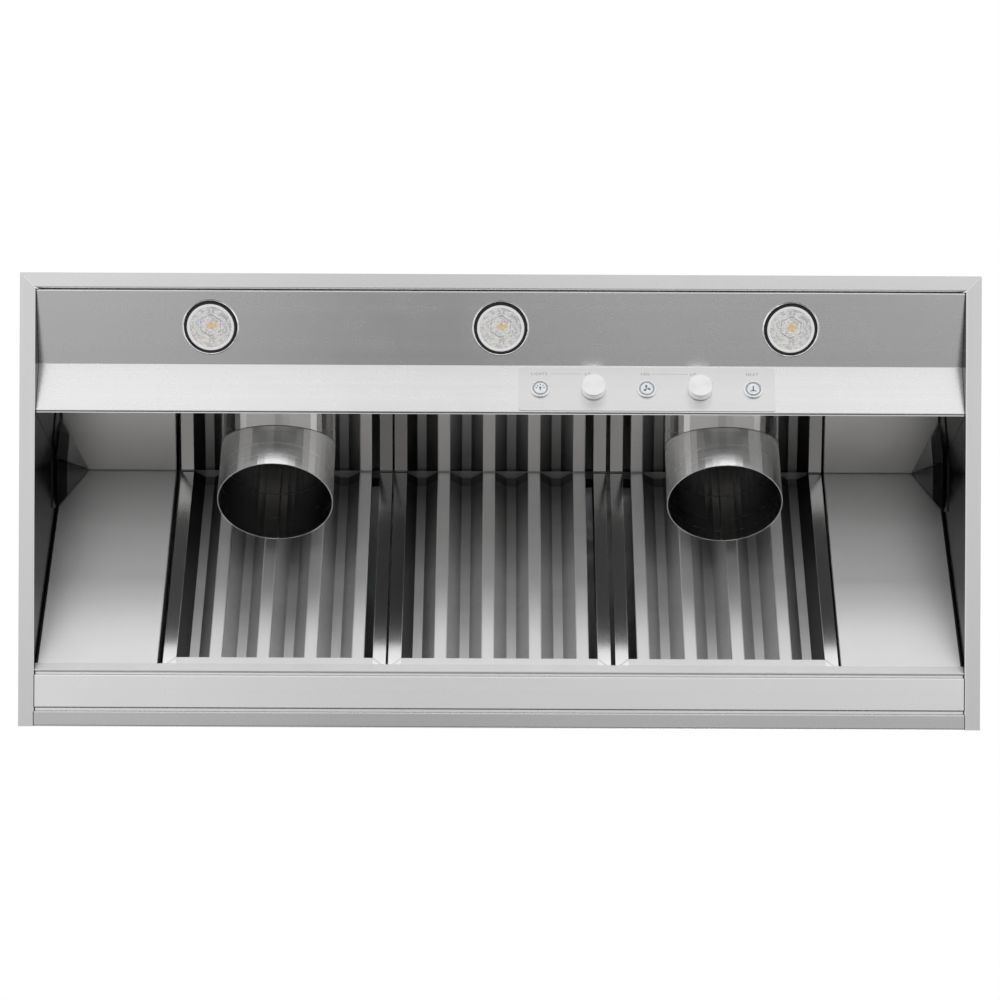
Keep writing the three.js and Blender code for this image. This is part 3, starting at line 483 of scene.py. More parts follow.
# The gusset's flap by the wall is painted darker still, as painted shade in the corner.
gusset_flap_shade = [(WIDE, 0.0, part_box("right_corner_gusset")[1].x - GUSSET_FLAP * MM, EDGE, 1.0, 0.15)]
dress_steel(
    "gusset", ["left_corner_gusset", "right_corner_gusset"], ALONG_Y, 0.22, 0.34, 0.10, 0.20,
    stretch=0.0, beyond=gusset_flap_shade, edge=0.5,
)
dress_steel("rail", ["filter_lip_rail"], ALONG_X, 0.66, 0.76, 0.26, 0.40)
dress_steel("tray", ["drip_tray"], ALONG_X, 0.88, 0.97, 0.22, 0.34, stretch=0.3)
dress_steel("control_plate", ["control_plate"], ALONG_X, 0.78, 0.86, 0.24, 0.40)
print("fillers rise", round(filler_rise, 4), "m")


# %% The filters take their steel
BAYS = ("left", "centre", "right")
FILTER_RAIL = 16.0
REAR_RING = 29.0
BANK_LEAN = math.radians(43.6)
UP_SLOPE = (0.0, -math.cos(BANK_LEAN), math.sin(BANK_LEAN))


def filter_steels(bay):
    """One filter's two rows. The frame's rails are smoother than its baffles, and the head of both rows
    is painted darker, as shade up under the lamp panel. The rear row is painted darker than the frame,
    darker still upwards and darkest at its ring: painted shade behind the front row and in the gap
    by the rails."""
    frame_name, rear_name = f"{bay}_filter_frame", f"{bay}_filter_rear_baffles"
    low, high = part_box(frame_name)
    middle, half = (low.x + high.x) / 2, (high.x - low.x) / 2
    climb = [vertex.co.dot(Vector(UP_SLOPE)) for vertex in nodes[frame_name].data.vertices]
    head_reach = max(climb) - min(climb) - (FILTER_RAIL + 0.5) * MM
    head = (UP_SLOPE, min(climb), head_reach, EDGE, 1.0, 0.6)
    rails = (WIDE, middle, half - FILTER_RAIL * MM, EDGE, 0.2, 0.8)
    rear_low, rear_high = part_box(rear_name)
    rise = rear_high.z - rear_low.z
    ring = (WIDE, middle, half - REAR_RING * MM, EDGE, 1.0, 0.2)
    shadow = (UP, rear_low.z, rise * 0.5, rise * 0.4, 1.0, 0.35)
    for row, name, dark, light, beyond in (
        ("frame", frame_name, 0.92, 0.99, [rails, head]),
        ("rear", rear_name, 0.60, 0.74, [ring, shadow, head]),
    ):
        dress_steel(f"{bay}_{row}", [name], ALONG_X, dark, light, 0.40, 0.52, 0.000004, beyond=beyond)


for bay in BAYS:
    filter_steels(bay)
print("filters dressed:", len(BAYS))


# %% [markdown]
# The galvanised sheet above the panels is never polished. Zinc freezes into flat crystals, so
# the sheet is a patchwork of slightly different greys with a dull shine. Nobody looks up there
# after fitting, but the part is judged from all sides.

# %% Zinc crystals as a node group
def build_spangle_group():
    """Zinc crystals: flat cells of a Voronoi pattern about 9 mm wide, each with a tone of its own."""
    group, source, sink = new_group(
        "zinc_spangle", [("Size", "Float", 110.0)], [("Tone", "Float"), ("Edge", "Float")]
    )
    cells = add_node(group, "TexVoronoi")
    group.links.new(object_place(group), cells.inputs["Vector"])
    group.links.new(source["Size"], cells.inputs["Scale"])
    tone = add_node(group, "SeparateColor")
    group.links.new(cells.outputs["Color"], tone.inputs["Color"])
    group.links.new(tone.outputs["Red"], sink["Tone"])
    group.links.new(cells.outputs["Distance"], sink["Edge"])
    return group


SPANGLE = build_spangle_group()
print("group:", SPANGLE.name)


# %% Galvanised sheet
def galvanised(name, dark, light):
    """Zinc sheet: each crystal has its own tone and roughness, and a faint dip at its rim."""
    material, tree, metal = principled(name, Metallic=1.0)
    crystals = use_group(tree, SPANGLE, Size=110.0)
    marks = use_group(tree, SMUDGE, Size=6.0)["Amount"]
    share = weighted_sum(tree, (crystals["Tone"], 0.6), (marks, 0.4))
    link_looks(
        tree, metal, blend_colours(tree, share, dark, light),
        add_spread(tree, crystals["Tone"], 0.38, 0.56), add_bump(tree, crystals["Edge"], 0.00005, 0.4),
    )
    return material


zinc_sheet = galvanised("zinc_sheet", (0.40, 0.42, 0.43), (0.60, 0.62, 0.63))
zinc_wheel = galvanised("zinc_wheel", (0.34, 0.35, 0.36), (0.50, 0.52, 0.53))
dress(zinc_sheet, "top_panel", "filter_top_channel", "blower_housing", "duct_collar")
dress(zinc_sheet, "junction_box", "junction_box_cover", "front_damper_flap", "back_damper_flap")
dress(zinc_wheel, "blower_wheel")
print("galvanised parts dressed")


# %% [markdown]
# The shrouds are rolled tubes. The belt went round each tube, so its grain follows rings about
# the tube's own axis. A ring pattern needs only one number per point: how far the point lies
# along that axis. The bore is darker, found by the distance from the axis.

# %% Shrouds
SHROUD_TILT = math.radians(49.0)
SHROUD_X = 280.0
SHROUD_MOUTH = (1.5, 67.26)
SHROUD_BORE = 70.8
SHROUD_AXIS = (0.0, math.sin(SHROUD_TILT), -math.cos(SHROUD_TILT))
BORE_MARGIN = 0.4


def add_line_noise(tree, number, scale):
    """A noise along one line, read at the given number."""
    noise = add_node(tree, "TexNoise", Scale=scale)
    noise.noise_dimensions = "1D"
    tree.links.new(number, noise.inputs["W"])
    return noise.outputs["Fac"]


def rolled_steel(name, along, bore, dark, light, smooth, rough):
    """Steel brushed round a tube: the grain is a noise of the height along the axis. The bore, which is
    within the given distance of the axis, is darker. The two tubes mirror each other, so the left
    one is folded onto the right one by the size of X."""
    material, tree, metal = principled(name, Metallic=1.0, Anisotropic=0.8)
    set_tangent(tree, metal, along)
    place = object_place(tree)
    height = add_vector_math(tree, "DOT_PRODUCT", place, along)
    marks = use_group(tree, SMUDGE, Size=14.0)["Amount"]
    share = weighted_sum(tree, (add_line_noise(tree, height, 160.0), 0.85), (marks, 0.15))
    apart, folded = add_node(tree, "SeparateXYZ"), add_node(tree, "CombineXYZ")
    tree.links.new(place, apart.inputs["Vector"])
    tree.links.new(add_math(tree, "ABSOLUTE", apart.outputs["X"]), folded.inputs["X"])
    tree.links.new(apart.outputs["Y"], folded.inputs["Y"])
    tree.links.new(apart.outputs["Z"], folded.inputs["Z"])
    centre = (SHROUD_X * MM, *(value * MM for value in SHROUD_MOUTH))
    offset = add_vector_math(tree, "SUBTRACT", folded.outputs["Vector"], centre)
    radius = add_vector_math(tree, "LENGTH", add_vector_math(tree, "CROSS_PRODUCT", offset, along))
    inside = add_math(tree, "LESS_THAN", radius, bore)
    kept = add_math(tree, "SUBTRACT", 1.0, add_math(tree, "MULTIPLY", inside, 0.55))
    colour = add_vector_math(tree, "SCALE", blend_colours(tree, share, dark, light), kept)
    scratches = add_bump(tree, add_line_noise(tree, height, 2600.0), 0.0000004)
    link_looks(tree, metal, colour, add_spread(tree, share, smooth, rough), scratches)
    return material


shroud_bore = (SHROUD_BORE + BORE_MARGIN) * MM
shroud_steel = rolled_steel("shroud_steel", SHROUD_AXIS, shroud_bore, 0.90, 0.98, 0.20, 0.30)
dress(shroud_steel, "left_heat_shroud", "right_heat_shroud")
print("shrouds dressed; their mouths face", tuple(round(v, 4) for v in SHROUD_AXIS))


# %% [markdown]
# The knobs, button caps, bezels and the damper's pin are turned on a lathe, which leaves fine
# rings about the axis. They could be painted as a picture, but a point's distance from the axis
# is a plain formula, so a few vector nodes and one noise give rings of any fineness.

# %% Turning lines as a node group
def build_turning_group():
    """Turning lines: the distance from an axis through Centre along Axis, in fine rings.
    A point's distance is the length of its offset less the part that runs along the axis."""
    group, source, sink = new_group(
        "turning_lines",
        [("Centre", "Vector", (0, 0, 0)), ("Axis", "Vector", (0, 0, 1)), ("Pitch", "Float", 0.00022)],
        [("Tone", "Float"), ("Height", "Float"), ("Across", "Vector")],
    )
    offset = add_vector_math(group, "SUBTRACT", object_place(group), source["Centre"])
    along = add_vector_math(group, "DOT_PRODUCT", offset, source["Axis"])
    shadow = add_vector_math(group, "SCALE", source["Axis"], along)
    across = add_vector_math(group, "SUBTRACT", offset, shadow)
    rings = add_math(group, "DIVIDE", add_vector_math(group, "LENGTH", across), source["Pitch"])
    group.links.new(across, sink["Across"])
    group.links.new(add_line_noise(group, rings, 0.12), sink["Tone"])
    group.links.new(add_line_noise(group, rings, 1.0), sink["Height"])
    return group


TURNING = build_turning_group()
print("group:", TURNING.name)


# %% Turned metal
def middle_of(name):
    """The middle of a CAD node's box, as a vector in metres."""
    low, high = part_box(name)
    return (low + high) / 2


def turned_metal(name, node, axis, dark, light, smooth, rough, pitch=0.00022):
    """Turned or spun metal: rings about an axis through the node's middle move the tone and carry a
    shallow bump."""
    material, tree, metal = principled(name, Metallic=1.0, Anisotropic=0.8)
    rings = use_group(tree, TURNING, Centre=tuple(middle_of(node)), Axis=tuple(axis), Pitch=pitch)
    tree.links.new(rings["Across"], metal.inputs["Tangent"])
    marks = use_group(tree, SMUDGE, Size=40.0)["Amount"]
    link_looks(
        tree, metal, blend_colours(tree, rings["Tone"], dark, light),
        add_spread(tree, marks, smooth, rough), add_bump(tree, rings["Height"], 0.000003),
    )
    return material


RIDGE_RISE = 26.0
FASCIA_DEPTH = 58.8
CONTROL_TILT = math.atan2(RIDGE_RISE, FASCIA_DEPTH)
CONTROL_OUT = Vector((0.0, -math.sin(CONTROL_TILT), -math.cos(CONTROL_TILT)))
CAP_TONES = (0.84, 0.87, 0.90), (0.93, 0.95, 0.97)
BUTTONS = ("light", "fan", "heat")
for label in ("light", "fan"):
    knob = f"{label}_knob"
    dress(turned_metal(f"{knob}_aluminium", knob, CONTROL_OUT, 0.90, 0.98, 0.26, 0.36, 0.0003), knob)
    dress(turned_metal(f"{label}_shaft_steel", knob, CONTROL_OUT, 0.45, 0.60, 0.2, 0.35), f"{knob}_shaft")
for label in BUTTONS:
    cap, bezel = f"{label}_button_cap", f"{label}_button_bezel"
    dress(turned_metal(f"{label}_cap_aluminium", cap, CONTROL_OUT, *CAP_TONES, 0.24, 0.38), cap)
    dress(turned_metal(f"{label}_bezel_aluminium", cap, CONTROL_OUT, 0.92, 0.99, 0.18, 0.30), bezel)
dress(turned_metal("pin_steel", "damper_pin", WIDE, 0.5, 0.65, 0.15, 0.3), "damper_pin")
print("turned parts dressed; controls face", tuple(round(v, 4) for v in CONTROL_OUT))


# %% [markdown]
# Plastics and porcelain are dielectrics. Moulded plastic has a fine grain from its mould, and
# glazed porcelain is smooth with a slight unevenness. Motor enamel is black and a little dusty.

# %% Plastics, porcelain and enamel
def moulded(name, dark, light, smooth, rough, grain_scale=1400.0, depth=0.00004, **constants):
    """A moulded or coated surface: a fine noise for its texture, smudges for its wear."""
    material, tree, body = principled(name, **constants)
    pores = add_noise(tree, object_place(tree), grain_scale)
    marks = use_group(tree, SMUDGE, Size=30.0)["Amount"]
    link_looks(
        tree, body, blend_colours(tree, marks, dark, light),
        add_spread(tree, marks, smooth, rough), add_bump(tree, pores, depth),
    )
    return material


black_plastic = moulded("black_plastic", 0.010, 0.022, 0.35, 0.55)
grey_plastic = moulded("grey_plastic", 0.055, 0.085, 0.40, 0.60)
dark_plastic = moulded("dark_plastic", 0.018, 0.035, 0.40, 0.60)
porcelain = moulded("socket_porcelain", (0.74, 0.71, 0.64), (0.86, 0.84, 0.78), 0.12, 0.25, 90.0, 0.0001)
motor_enamel = moulded("motor_enamel", 0.016, 0.04, 0.30, 0.50, 500.0)
dress(black_plastic, *(f"{bay}_lamp" for bay in BAYS), *(f"{label}_push_switch" for label in BUTTONS))
dress(dark_plastic, "light_rotary_control", "fan_rotary_control")
dress(grey_plastic, "control_module")
dress(porcelain, "left_heat_socket", "right_heat_socket")
dress(motor_enamel, "blower_motor")
print("plastics dressed")


# %% [markdown]
# Small pieces sit on the two sloping panels, so they are drawn flat, in millimetres, and then
# laid on a panel. A panel's own X runs across the hood, its Y up the photograph and its Z out
# towards the cook. Laying a piece down is one matrix product and one shift for all its points.

# %% Panels to build on
FRONT_EDGE = -258.7
PANEL_RISE = 6.5
LAMP_PANEL_DEPTH = 91.2


def panel(y, z, depth, rise):
    """Origin and X, Y and Z directions of a panel through (y, z) that goes back by depth while it
    drops by rise."""
    slant = math.hypot(depth, rise)
    outward = (0.0, -rise / slant, -depth / slant)
    upward = (0.0, -depth / slant, rise / slant)
    return np.array((0.0, y, z)) * MM, np.array(((1.0, 0.0, 0.0), upward, outward))


half_rise = PANEL_RISE + RIDGE_RISE / 2
lamp_panel = panel(FRONT_EDGE + LAMP_PANEL_DEPTH / 2, half_rise, LAMP_PANEL_DEPTH, -RIDGE_RISE)
control_panel = panel(FRONT_EDGE + LAMP_PANEL_DEPTH + FASCIA_DEPTH / 2, half_rise, FASCIA_DEPTH, RIDGE_RISE)


def laid(points, face, x=0.0):
    """Points in a panel's own millimetres, shifted along it by x, as points of the frame in metres."""
    origin, directions = face
    return origin + ((np.asarray(points, float) + (x, 0.0, 0.0)) * MM) @ directions


print("lamp panel faces", lamp_panel[1][2].round(3), "control panel faces", control_panel[1][2].round(3))


# %% Pieces from points and faces
def mend_normals(mesh):
    """Merges doubled vertices and turns every face outwards."""
    work = bmesh.new()
    work.from_mesh(mesh)
    bmesh.ops.remove_doubles(work, verts=work.verts, dist=1e-7)
    bmesh.ops.recalc_face_normals(work, faces=work.faces)
    work.to_mesh(mesh)
    work.free()


def make_piece(name, shape, material, body, smooth=False):
    """A piece from (points, faces): a mended mesh with its material, riding on a body."""
    points, faces = shape
    mesh = bpy.data.meshes.new(name)
    mesh.from_pydata(np.asarray(points).tolist(), [], faces)
    mend_normals(mesh)
    mesh.materials.append(material)
    mesh.polygons.foreach_set("use_smooth", [smooth] * len(mesh.polygons))
    piece = add_object(name, mesh)
    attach(piece, body)
    return piece


def lay_piece(name, shape, face, x, material, body, smooth=False):
    """A piece whose shape is drawn in a panel's own millimetres, laid on that panel at x."""
    return make_piece(name, (laid(shape[0], face, x), shape[1]), material, body, smooth)


print("piece makers ready")


# %% Shapes: grids, turned profiles and prisms
def together(shapes):
    """Several (points, faces) shapes as one, each shape's faces shifted past the points before it."""
    points, faces, start = [], [], 0
    for shape_points, shape_faces in shapes:
        points.append(np.asarray(shape_points, float))
        faces.extend([[corner + start for corner in face] for face in shape_faces])
        start += len(shape_points)
    return np.concatenate(points), faces


def grid_faces(rows, columns, last_row_closes=False):
    """Quads between the rows of a grid of points. Each row closes on itself, and the last row may
    close on the first."""
    i, j = np.meshgrid(np.arange(rows if last_row_closes else rows - 1), np.arange(columns), indexing="ij")
    below, ahead = (i + 1) % rows, (j + 1) % columns
    corners = (i * columns + j, below * columns + j, below * columns + ahead, i * columns + ahead)
    return np.stack(corners, axis=-1).reshape(-1, 4).tolist()


def lathe(profile, count):
    """A closed profile of (radius, height) points, carried once round the Z axis in count steps."""
    profile = np.asarray(profile, float)
    turn = np.arange(count) * 2 * math.pi / count
    x = np.outer(np.cos(turn), profile[:, 0])
    y = np.outer(np.sin(turn), profile[:, 0])
    z = np.broadcast_to(profile[:, 1], x.shape)
    points = np.stack((x, y, z), axis=-1).reshape(-1, 3)
    return points, grid_faces(count, len(profile), last_row_closes=True)


def prism(outline, low, high):
    """A flat outline made solid between two heights: two caps and a band of side faces."""
    outline = np.asarray(outline, float)
    n = len(outline)
    caps = [np.column_stack((outline, np.full(n, z))) for z in (low, high)]
    i = np.arange(n)
    sides = np.stack((i, (i + 1) % n, (i + 1) % n + n, i + n), axis=1).tolist()
    return np.concatenate(caps), [i[::-1].tolist(), (i + n).tolist(), *sides]


print("shape makers ready")


# %% [markdown]
# Each lamp is a moulded lens over a pale dish, with a small board of warm chips at the bottom of
# the dish. The lens looks like a honeycomb because its outer face is covered in low cones. One
# surface does this: on a grid of rings and spokes, the height falls with the distance to the
# nearest point of a hexagonal lattice. The cones meet in six-sided edges by themselves. A real
# lens sends most light back to the viewer through many small bends, which would need far more
# rays than a picture has. So the lens here is nearly opaque, and carries that light as painted
# light, a colour stored at each of its points: pale cells with painted highlights, a hexagon of
# painted highlight lines and painted warm spots from the chips.

# %% Lamp materials
def lens_glass(name, painted):
    """Milky moulded lens. Its colour is the painted light stored at each point, or a plain pale mix."""
    material, tree, glass = principled(name, IOR=1.45, **{"Transmission Weight": 0.1})
    marks = use_group(tree, SMUDGE, Size=60.0)["Amount"]
    if painted:
        stored = add_node(tree, "Attribute")
        stored.attribute_name = "painted_lens_light"
        tint = stored.outputs["Color"]
    else:
        tint = blend_colours(tree, marks, (0.95, 0.96, 0.97), 0.99)
    link_looks(tree, glass, tint, add_spread(tree, marks, 0.05, 0.14))
    return material


lens_face = lens_glass("lamp_lens_face", True)
lamp_lens = lens_glass("lamp_lens_rim", False)
chip_phosphor = moulded("warm_chip", (0.90, 0.42, 0.07), (0.98, 0.60, 0.20), 0.25, 0.4, 3000.0, 0.00002)
board_white = moulded("lamp_board_white", (0.84, 0.84, 0.83), (0.93, 0.92, 0.90), 0.25, 0.4, 800.0, 0.00003)
dish_white = moulded("lamp_dish_white", (0.86, 0.87, 0.88), 0.94, 0.10, 0.2, 800.0, 0.00002)
print("lamp materials ready")


# %% The lens's shape
LENS_FOOT = -0.4
CONE_TIP = 1.5
CONE_SLOPE = 0.8
FACET = 2.3


def cone_height(x, y, pitch):
    """Distance to the nearest point of a hexagonal lattice: the nearer of two crossed rectangular ones."""
    row = pitch * math.sqrt(3)
    first = np.hypot((x + pitch / 2) % pitch - pitch / 2, (y + row / 2) % row - row / 2)
    second = np.hypot(x % pitch - pitch / 2, y % row - row / 2)
    return np.minimum(first, second)


def faceted_lens(radius, rings, spokes):
    """A disc of rings and spokes with low cones on its outer face and a flat inner face.
    Height is 1.5 at a cone's tip and falls by 0.8 for each millimetre away from it."""
    ring_radii, spoke_turns = np.linspace(0, radius, rings), np.arange(spokes) * 2 * math.pi / spokes
    r, turn = np.meshgrid(ring_radii, spoke_turns, indexing="ij")
    x, y = r * np.cos(turn), r * np.sin(turn)
    height = CONE_TIP - CONE_SLOPE * cone_height(x, y, FACET)
    front = np.stack((x, y, height), axis=-1).reshape(-1, 3)
    rear = np.column_stack((x[-1], y[-1], np.full(spokes, LENS_FOOT)))
    back = rings * spokes + np.arange(spokes)[::-1]
    return np.concatenate((front, rear)), grid_faces(rings + 1, spokes) + [back.tolist()]


print("cones", FACET, "mm apart")


# %% The lens's painted light
CHIP_PLACES = [(0.7, 5.1), (-3.3, 1.8), (5.6, 2.1), (1.4, -0.7)]
GLINTS = [(-2.6, 9.2), (1.5, 9.8), (4.6, 8.4), (8.2, 7.2), (-6.4, 5.4), (-5.2, -3.0), (7.6, -2.4)]
HEXAGON = 13.8
HEXAGON_LIFT = 2.4
HEXAGON_BAND = 3.0
HEXAGON_LINE = 1.9
CELL_TIP_HIGHLIGHT, CELL_HIGHLIGHT_FALL, CELL_CHANCE, CELL_SHADE = 1.24, 0.46, 0.40, 0.12


def lens_painted_light(x, y):
    """Painted light of the lens at (x, y) in millimetres. Each cell is a painted highlight, white at its
    tip and falling by 0.46 per millimetre, with a random step of its own, and the upper right is painted
    a little darker as shade; a hexagon of two pale lines, painted highlights, stands round the middle;
    the chips and a few glints show as painted warm spots, and far cells on the lower side catch painted
    warm light from them."""
    radius = np.hypot(x, y)
    cell = cone_height(x, y, FACET)
    key = np.floor(x / FACET) * 12.9898 + np.floor(y / FACET) * 78.233
    chance = np.abs(np.sin(key) * 43758.5453) % 1.0
    grey = CELL_TIP_HIGHLIGHT - CELL_HIGHLIGHT_FALL * cell + CELL_CHANCE * (chance - 0.5)
    grey = grey - CELL_SHADE * np.clip((x + y) / 30, 0, 1)
    sides = [np.abs(x * math.cos(a) + (y - HEXAGON_LIFT) * math.sin(a)) for a in np.radians([-4, 56, 116])]
    border = np.max(sides, axis=0) * 2 / math.sqrt(3)
    grey = np.where(np.abs(border - HEXAGON) < HEXAGON_BAND, 0.50 + 0.40 * chance, grey)
    for ring in (HEXAGON - HEXAGON_LINE, HEXAGON + HEXAGON_LINE):
        grey = np.where(np.abs(border - ring) < 0.5, 1.0, grey)
    warm = np.where((radius > 12) & (y < -0.3 * x) & (chance > 0.5), 0.4 * np.clip(1.1 - cell, 0, 1), 0.0)
    for places, reach, strength in ((CHIP_PLACES, 2.6, 1.6), (GLINTS, 1.5, 0.6)):
        for cx, cy in places:
            warm = np.maximum(warm, np.clip(reach - np.hypot(x - cx, y - cy), 0, 1) * strength)
    grey = np.clip(np.where(warm > 1.0, 0.96, grey), 0.3, 1.0)
    amber = np.clip(warm, 0, 1)
    return np.column_stack((grey, grey * (1 - 0.31 * amber), grey * (1 - 0.68 * amber), np.ones_like(grey)))


def paint_lens_light(piece, x):
    """Stores the lens's painted light at the vertices of a lens that was laid on the lamp panel at x."""
    spots = np.array([vertex.co for vertex in piece.data.vertices])
    flat = (spots - lamp_panel[0]) @ lamp_panel[1].T / MM - (x, 0.0, 0.0)
    colours = piece.data.attributes.new("painted_lens_light", "FLOAT_COLOR", "POINT")
    colours.data.foreach_set("color", lens_painted_light(flat[:, 0], flat[:, 1]).ravel())


print("warm spots:", len(CHIP_PLACES) + len(GLINTS))


# %% Profiles of the trim, rim, dish, collar and board
RIM_BORE = 25.3
LENS_RIM = 28.2
BOARD_LEVEL = -3.0
BOARD_RADIUS = 14.8
DISH_FOOT = 15.0
DISH_EDGE = 28.0
SHEET = 0.3
TRIM_PROFILE = [
    (32.5, -14.0), (34.0, -14.0), (34.0, 0.3), (34.9, 0.3), (35.0, 0.8), (33.6, 2.3), (32.5, 1.2),
]
RIM_PROFILE = [
    (RIM_BORE, LENS_FOOT), (LENS_RIM, LENS_FOOT), (LENS_RIM, 1.65), (29.1, 1.65),
    (28.9, 1.9), (27.2, 2.1), (RIM_BORE, 1.3),
]
DISH_PROFILE = [
    (DISH_FOOT, BOARD_LEVEL), (DISH_EDGE, -0.8), (DISH_EDGE, -1.2), (DISH_FOOT, BOARD_LEVEL - SHEET),
]
COLLAR_PROFILE = [(14.0, BOARD_LEVEL), (15.6, BOARD_LEVEL), (15.3, -0.9), (14.5, -0.9)]
BOARD_PROFILE = [
    (0, BOARD_LEVEL - SHEET), (BOARD_RADIUS, BOARD_LEVEL - SHEET),
    (BOARD_RADIUS, BOARD_LEVEL), (0, BOARD_LEVEL),
]
print("trim reaches", max(radius for radius, height in TRIM_PROFILE), "mm from the lamp's axis")


# %% Chips and lugs
LUG_COUNT = 14
LUG_RING = 30.4


def dome(radius, height, x, y, z):
    """Half an ellipsoid on a flat foot, at (x, y, z)."""
    rise = np.linspace(0, math.pi / 2, 5)
    profile = [(0, 0), *zip(radius * np.cos(rise), height * np.sin(rise))]
    points, faces = lathe(profile, 14)
    return points + (x, y, z), faces


def lug(turn):
    """A small rounded lug on the lamp's black ring, at an angle round it."""
    outline = np.array([(-0.5, -0.9), (0.5, -0.9), (0.5, 0.9), (-0.5, 0.9)])
    points, faces = prism(outline, 1.55, 2.1)
    points[4:, :2] *= 0.6
    points[:, 1] += LUG_RING
    cos, sin = math.cos(turn), math.sin(turn)
    return points @ np.array(((cos, sin, 0), (-sin, cos, 0), (0, 0, 1))), faces


print("a chip each at", len(CHIP_PLACES), "places, and", LUG_COUNT, "lugs in a ring")


# %% The three lamps
LAMP_PITCH = 357.0
LENS_EDGE = 25.2


def lamp_optics(bay, x):
    """Dresses one lamp: a faceted lens and a bevelled trim replace the plain solids, and the works
    stand behind them."""
    lens = faceted_lens(LENS_EDGE, 56, 180)
    lens_piece = lay_piece(f"{bay}_faceted_lens", lens, lamp_panel, x, lens_face, "casing")
    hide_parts(f"{bay}_lamp_lens")
    paint_lens_light(lens_piece, x)
    chrome = turned_metal(f"{bay}_trim_chrome", f"{bay}_lamp_trim", lamp_panel[1][2], 0.84, 0.95, 0.06, 0.14)
    ring = lathe(TRIM_PROFILE, 120)
    trim = lay_piece(f"{bay}_trim_ring", ring, lamp_panel, x, chrome, "casing")
    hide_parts(f"{bay}_lamp_trim")
    chips = together([dome(1.35, 0.9, cx, cy, BOARD_LEVEL) for cx, cy in CHIP_PLACES])
    lugs = together([lug(2 * math.pi * (k + 0.3) / LUG_COUNT) for k in range(LUG_COUNT)])
    parts = [
        ("lens_rim", lathe(RIM_PROFILE, 96), lamp_lens, "lamp_lens_glass", True),
        ("lamp_dish", lathe(DISH_PROFILE, 72), dish_white, "lamp_trim_chrome", True),
        ("lamp_collar", lathe(COLLAR_PROFILE, 6), dish_white, "lamp_trim_chrome", False),
        ("lamp_board", lathe(BOARD_PROFILE, 36), board_white, "lamp_body_black", False),
        ("lamp_chips", chips, chip_phosphor, "lamp_body_black", True),
        ("lamp_lugs", lugs, black_plastic, "lamp_body_black", False),
    ]
    for label, shape, material, slot, smooth in parts:
        lay_piece(f"{bay}_{label}", shape, lamp_panel, x, material, "casing", smooth)


for bay, x in zip(BAYS, (-LAMP_PITCH, 0.0, LAMP_PITCH)):
    lamp_optics(bay, x)
print("lamps dressed:", len(BAYS))


# %% [markdown]
# The controls carry plain printed words and small symbols. Print has almost no thickness, so a
# skin of a few hundredths of a millimetre stands for it: enough to be a real piece, too thin to
# see from the side. Every symbol is made from circles and bars, each a short prism.

# %% Symbols from ellipses and bars
def ellipse(x, y, half_x, half_y, turn=0.0, count=20):
    """An ellipse about (x, y), turned by an angle."""
    a = np.arange(count) * 2 * math.pi / count
    u, v = half_x * np.cos(a), half_y * np.sin(a)
    cos, sin = math.cos(turn), math.sin(turn)
    return np.column_stack((x + u * cos - v * sin, y + u * sin + v * cos))


def bar(x0, x1, y0, y1):
    """A rectangle between two corners."""
    return np.array([(x0, y0), (x1, y0), (x1, y1), (x0, y1)])


def light_symbol():
    """A bulb, drawn as a drop, under five rays."""
    right = [(0.5, 1.35), (1.0, 0.7), (0.45, -1.2), (0.3, -2.3)]
    drop = np.array(right + [(-x, y) for x, y in reversed(right)])
    angles = np.radians([0, 45, 90, 135, 180])
    rays = [ellipse(3.3 * math.cos(a), 0.3 + 3.0 * math.sin(a), 0.75, 0.42, a) for a in angles]
    return [drop, *rays]


def fan_symbol():
    """Three blades round a hub."""
    angles = np.radians([90, 210, 330])
    blades = [ellipse(2.1 * math.cos(a + 0.25), 2.1 * math.sin(a + 0.25), 1.5, 1.05, a) for a in angles]
    return [*blades, ellipse(0, 0, 0.55, 0.55)]


def heat_symbol():
    """A thermometer: a stem with a round end, its bulb, and a slanted oval on each side of it."""
    stem = [bar(-0.55, 0.55, -0.8, 2.4), ellipse(0, 2.4, 0.55, 0.55), ellipse(0, -1.5, 1.05, 1.05)]
    return stem + [ellipse(side * 1.9, -2.0, 0.9, 0.5, -side * 0.5) for side in (-1, 1)]


SYMBOLS = {"light": (-2, light_symbol), "fan": (0, fan_symbol), "heat": (2, heat_symbol)}
print("symbols:", list(SYMBOLS))


# %% Printed labels
PRINT = 0.05
PLATE_TOP = 1.3
CAPITAL_SHARE = 0.7
LEGEND_HEIGHT = 3.5
LETTER_SPACING = 1.3
LEGEND_Y = 20.6
HALF_LINE = 0.12
LEGENDS = {
    "lights": ("LIGHTS", 47.8), "lights_scale": ("LO", 107.8), "fan": ("FAN", 178.2),
    "fan_scale": ("LO", 237.7), "heat": ("HEAT", 310.3),
}
LEGEND_LINES = {"lights_line": (62.0, 100.4), "fan_line": (186.2, 230.8)}
legend_ink = moulded("legend_ink", 0.22, 0.30, 0.4, 0.55)


def lettering(words):
    """Plain capitals, as a thin solid: the text is made a mesh, and its box is centred on the origin."""
    curve = bpy.data.curves.new("lettering", "FONT")
    curve.body = words
    curve.size = LEGEND_HEIGHT / CAPITAL_SHARE
    curve.space_character = LETTER_SPACING
    curve.extrude = PRINT / 2
    text = add_object("lettering", curve)
    bpy.context.view_layer.update()
    mesh = text.to_mesh()
    points = np.array([vertex.co for vertex in mesh.vertices])
    faces = [list(face.vertices) for face in mesh.polygons]
    text.to_mesh_clear()
    bpy.data.objects.remove(text)
    points[:, :2] -= (points[:, :2].min(axis=0) + points[:, :2].max(axis=0)) / 2
    return points, faces


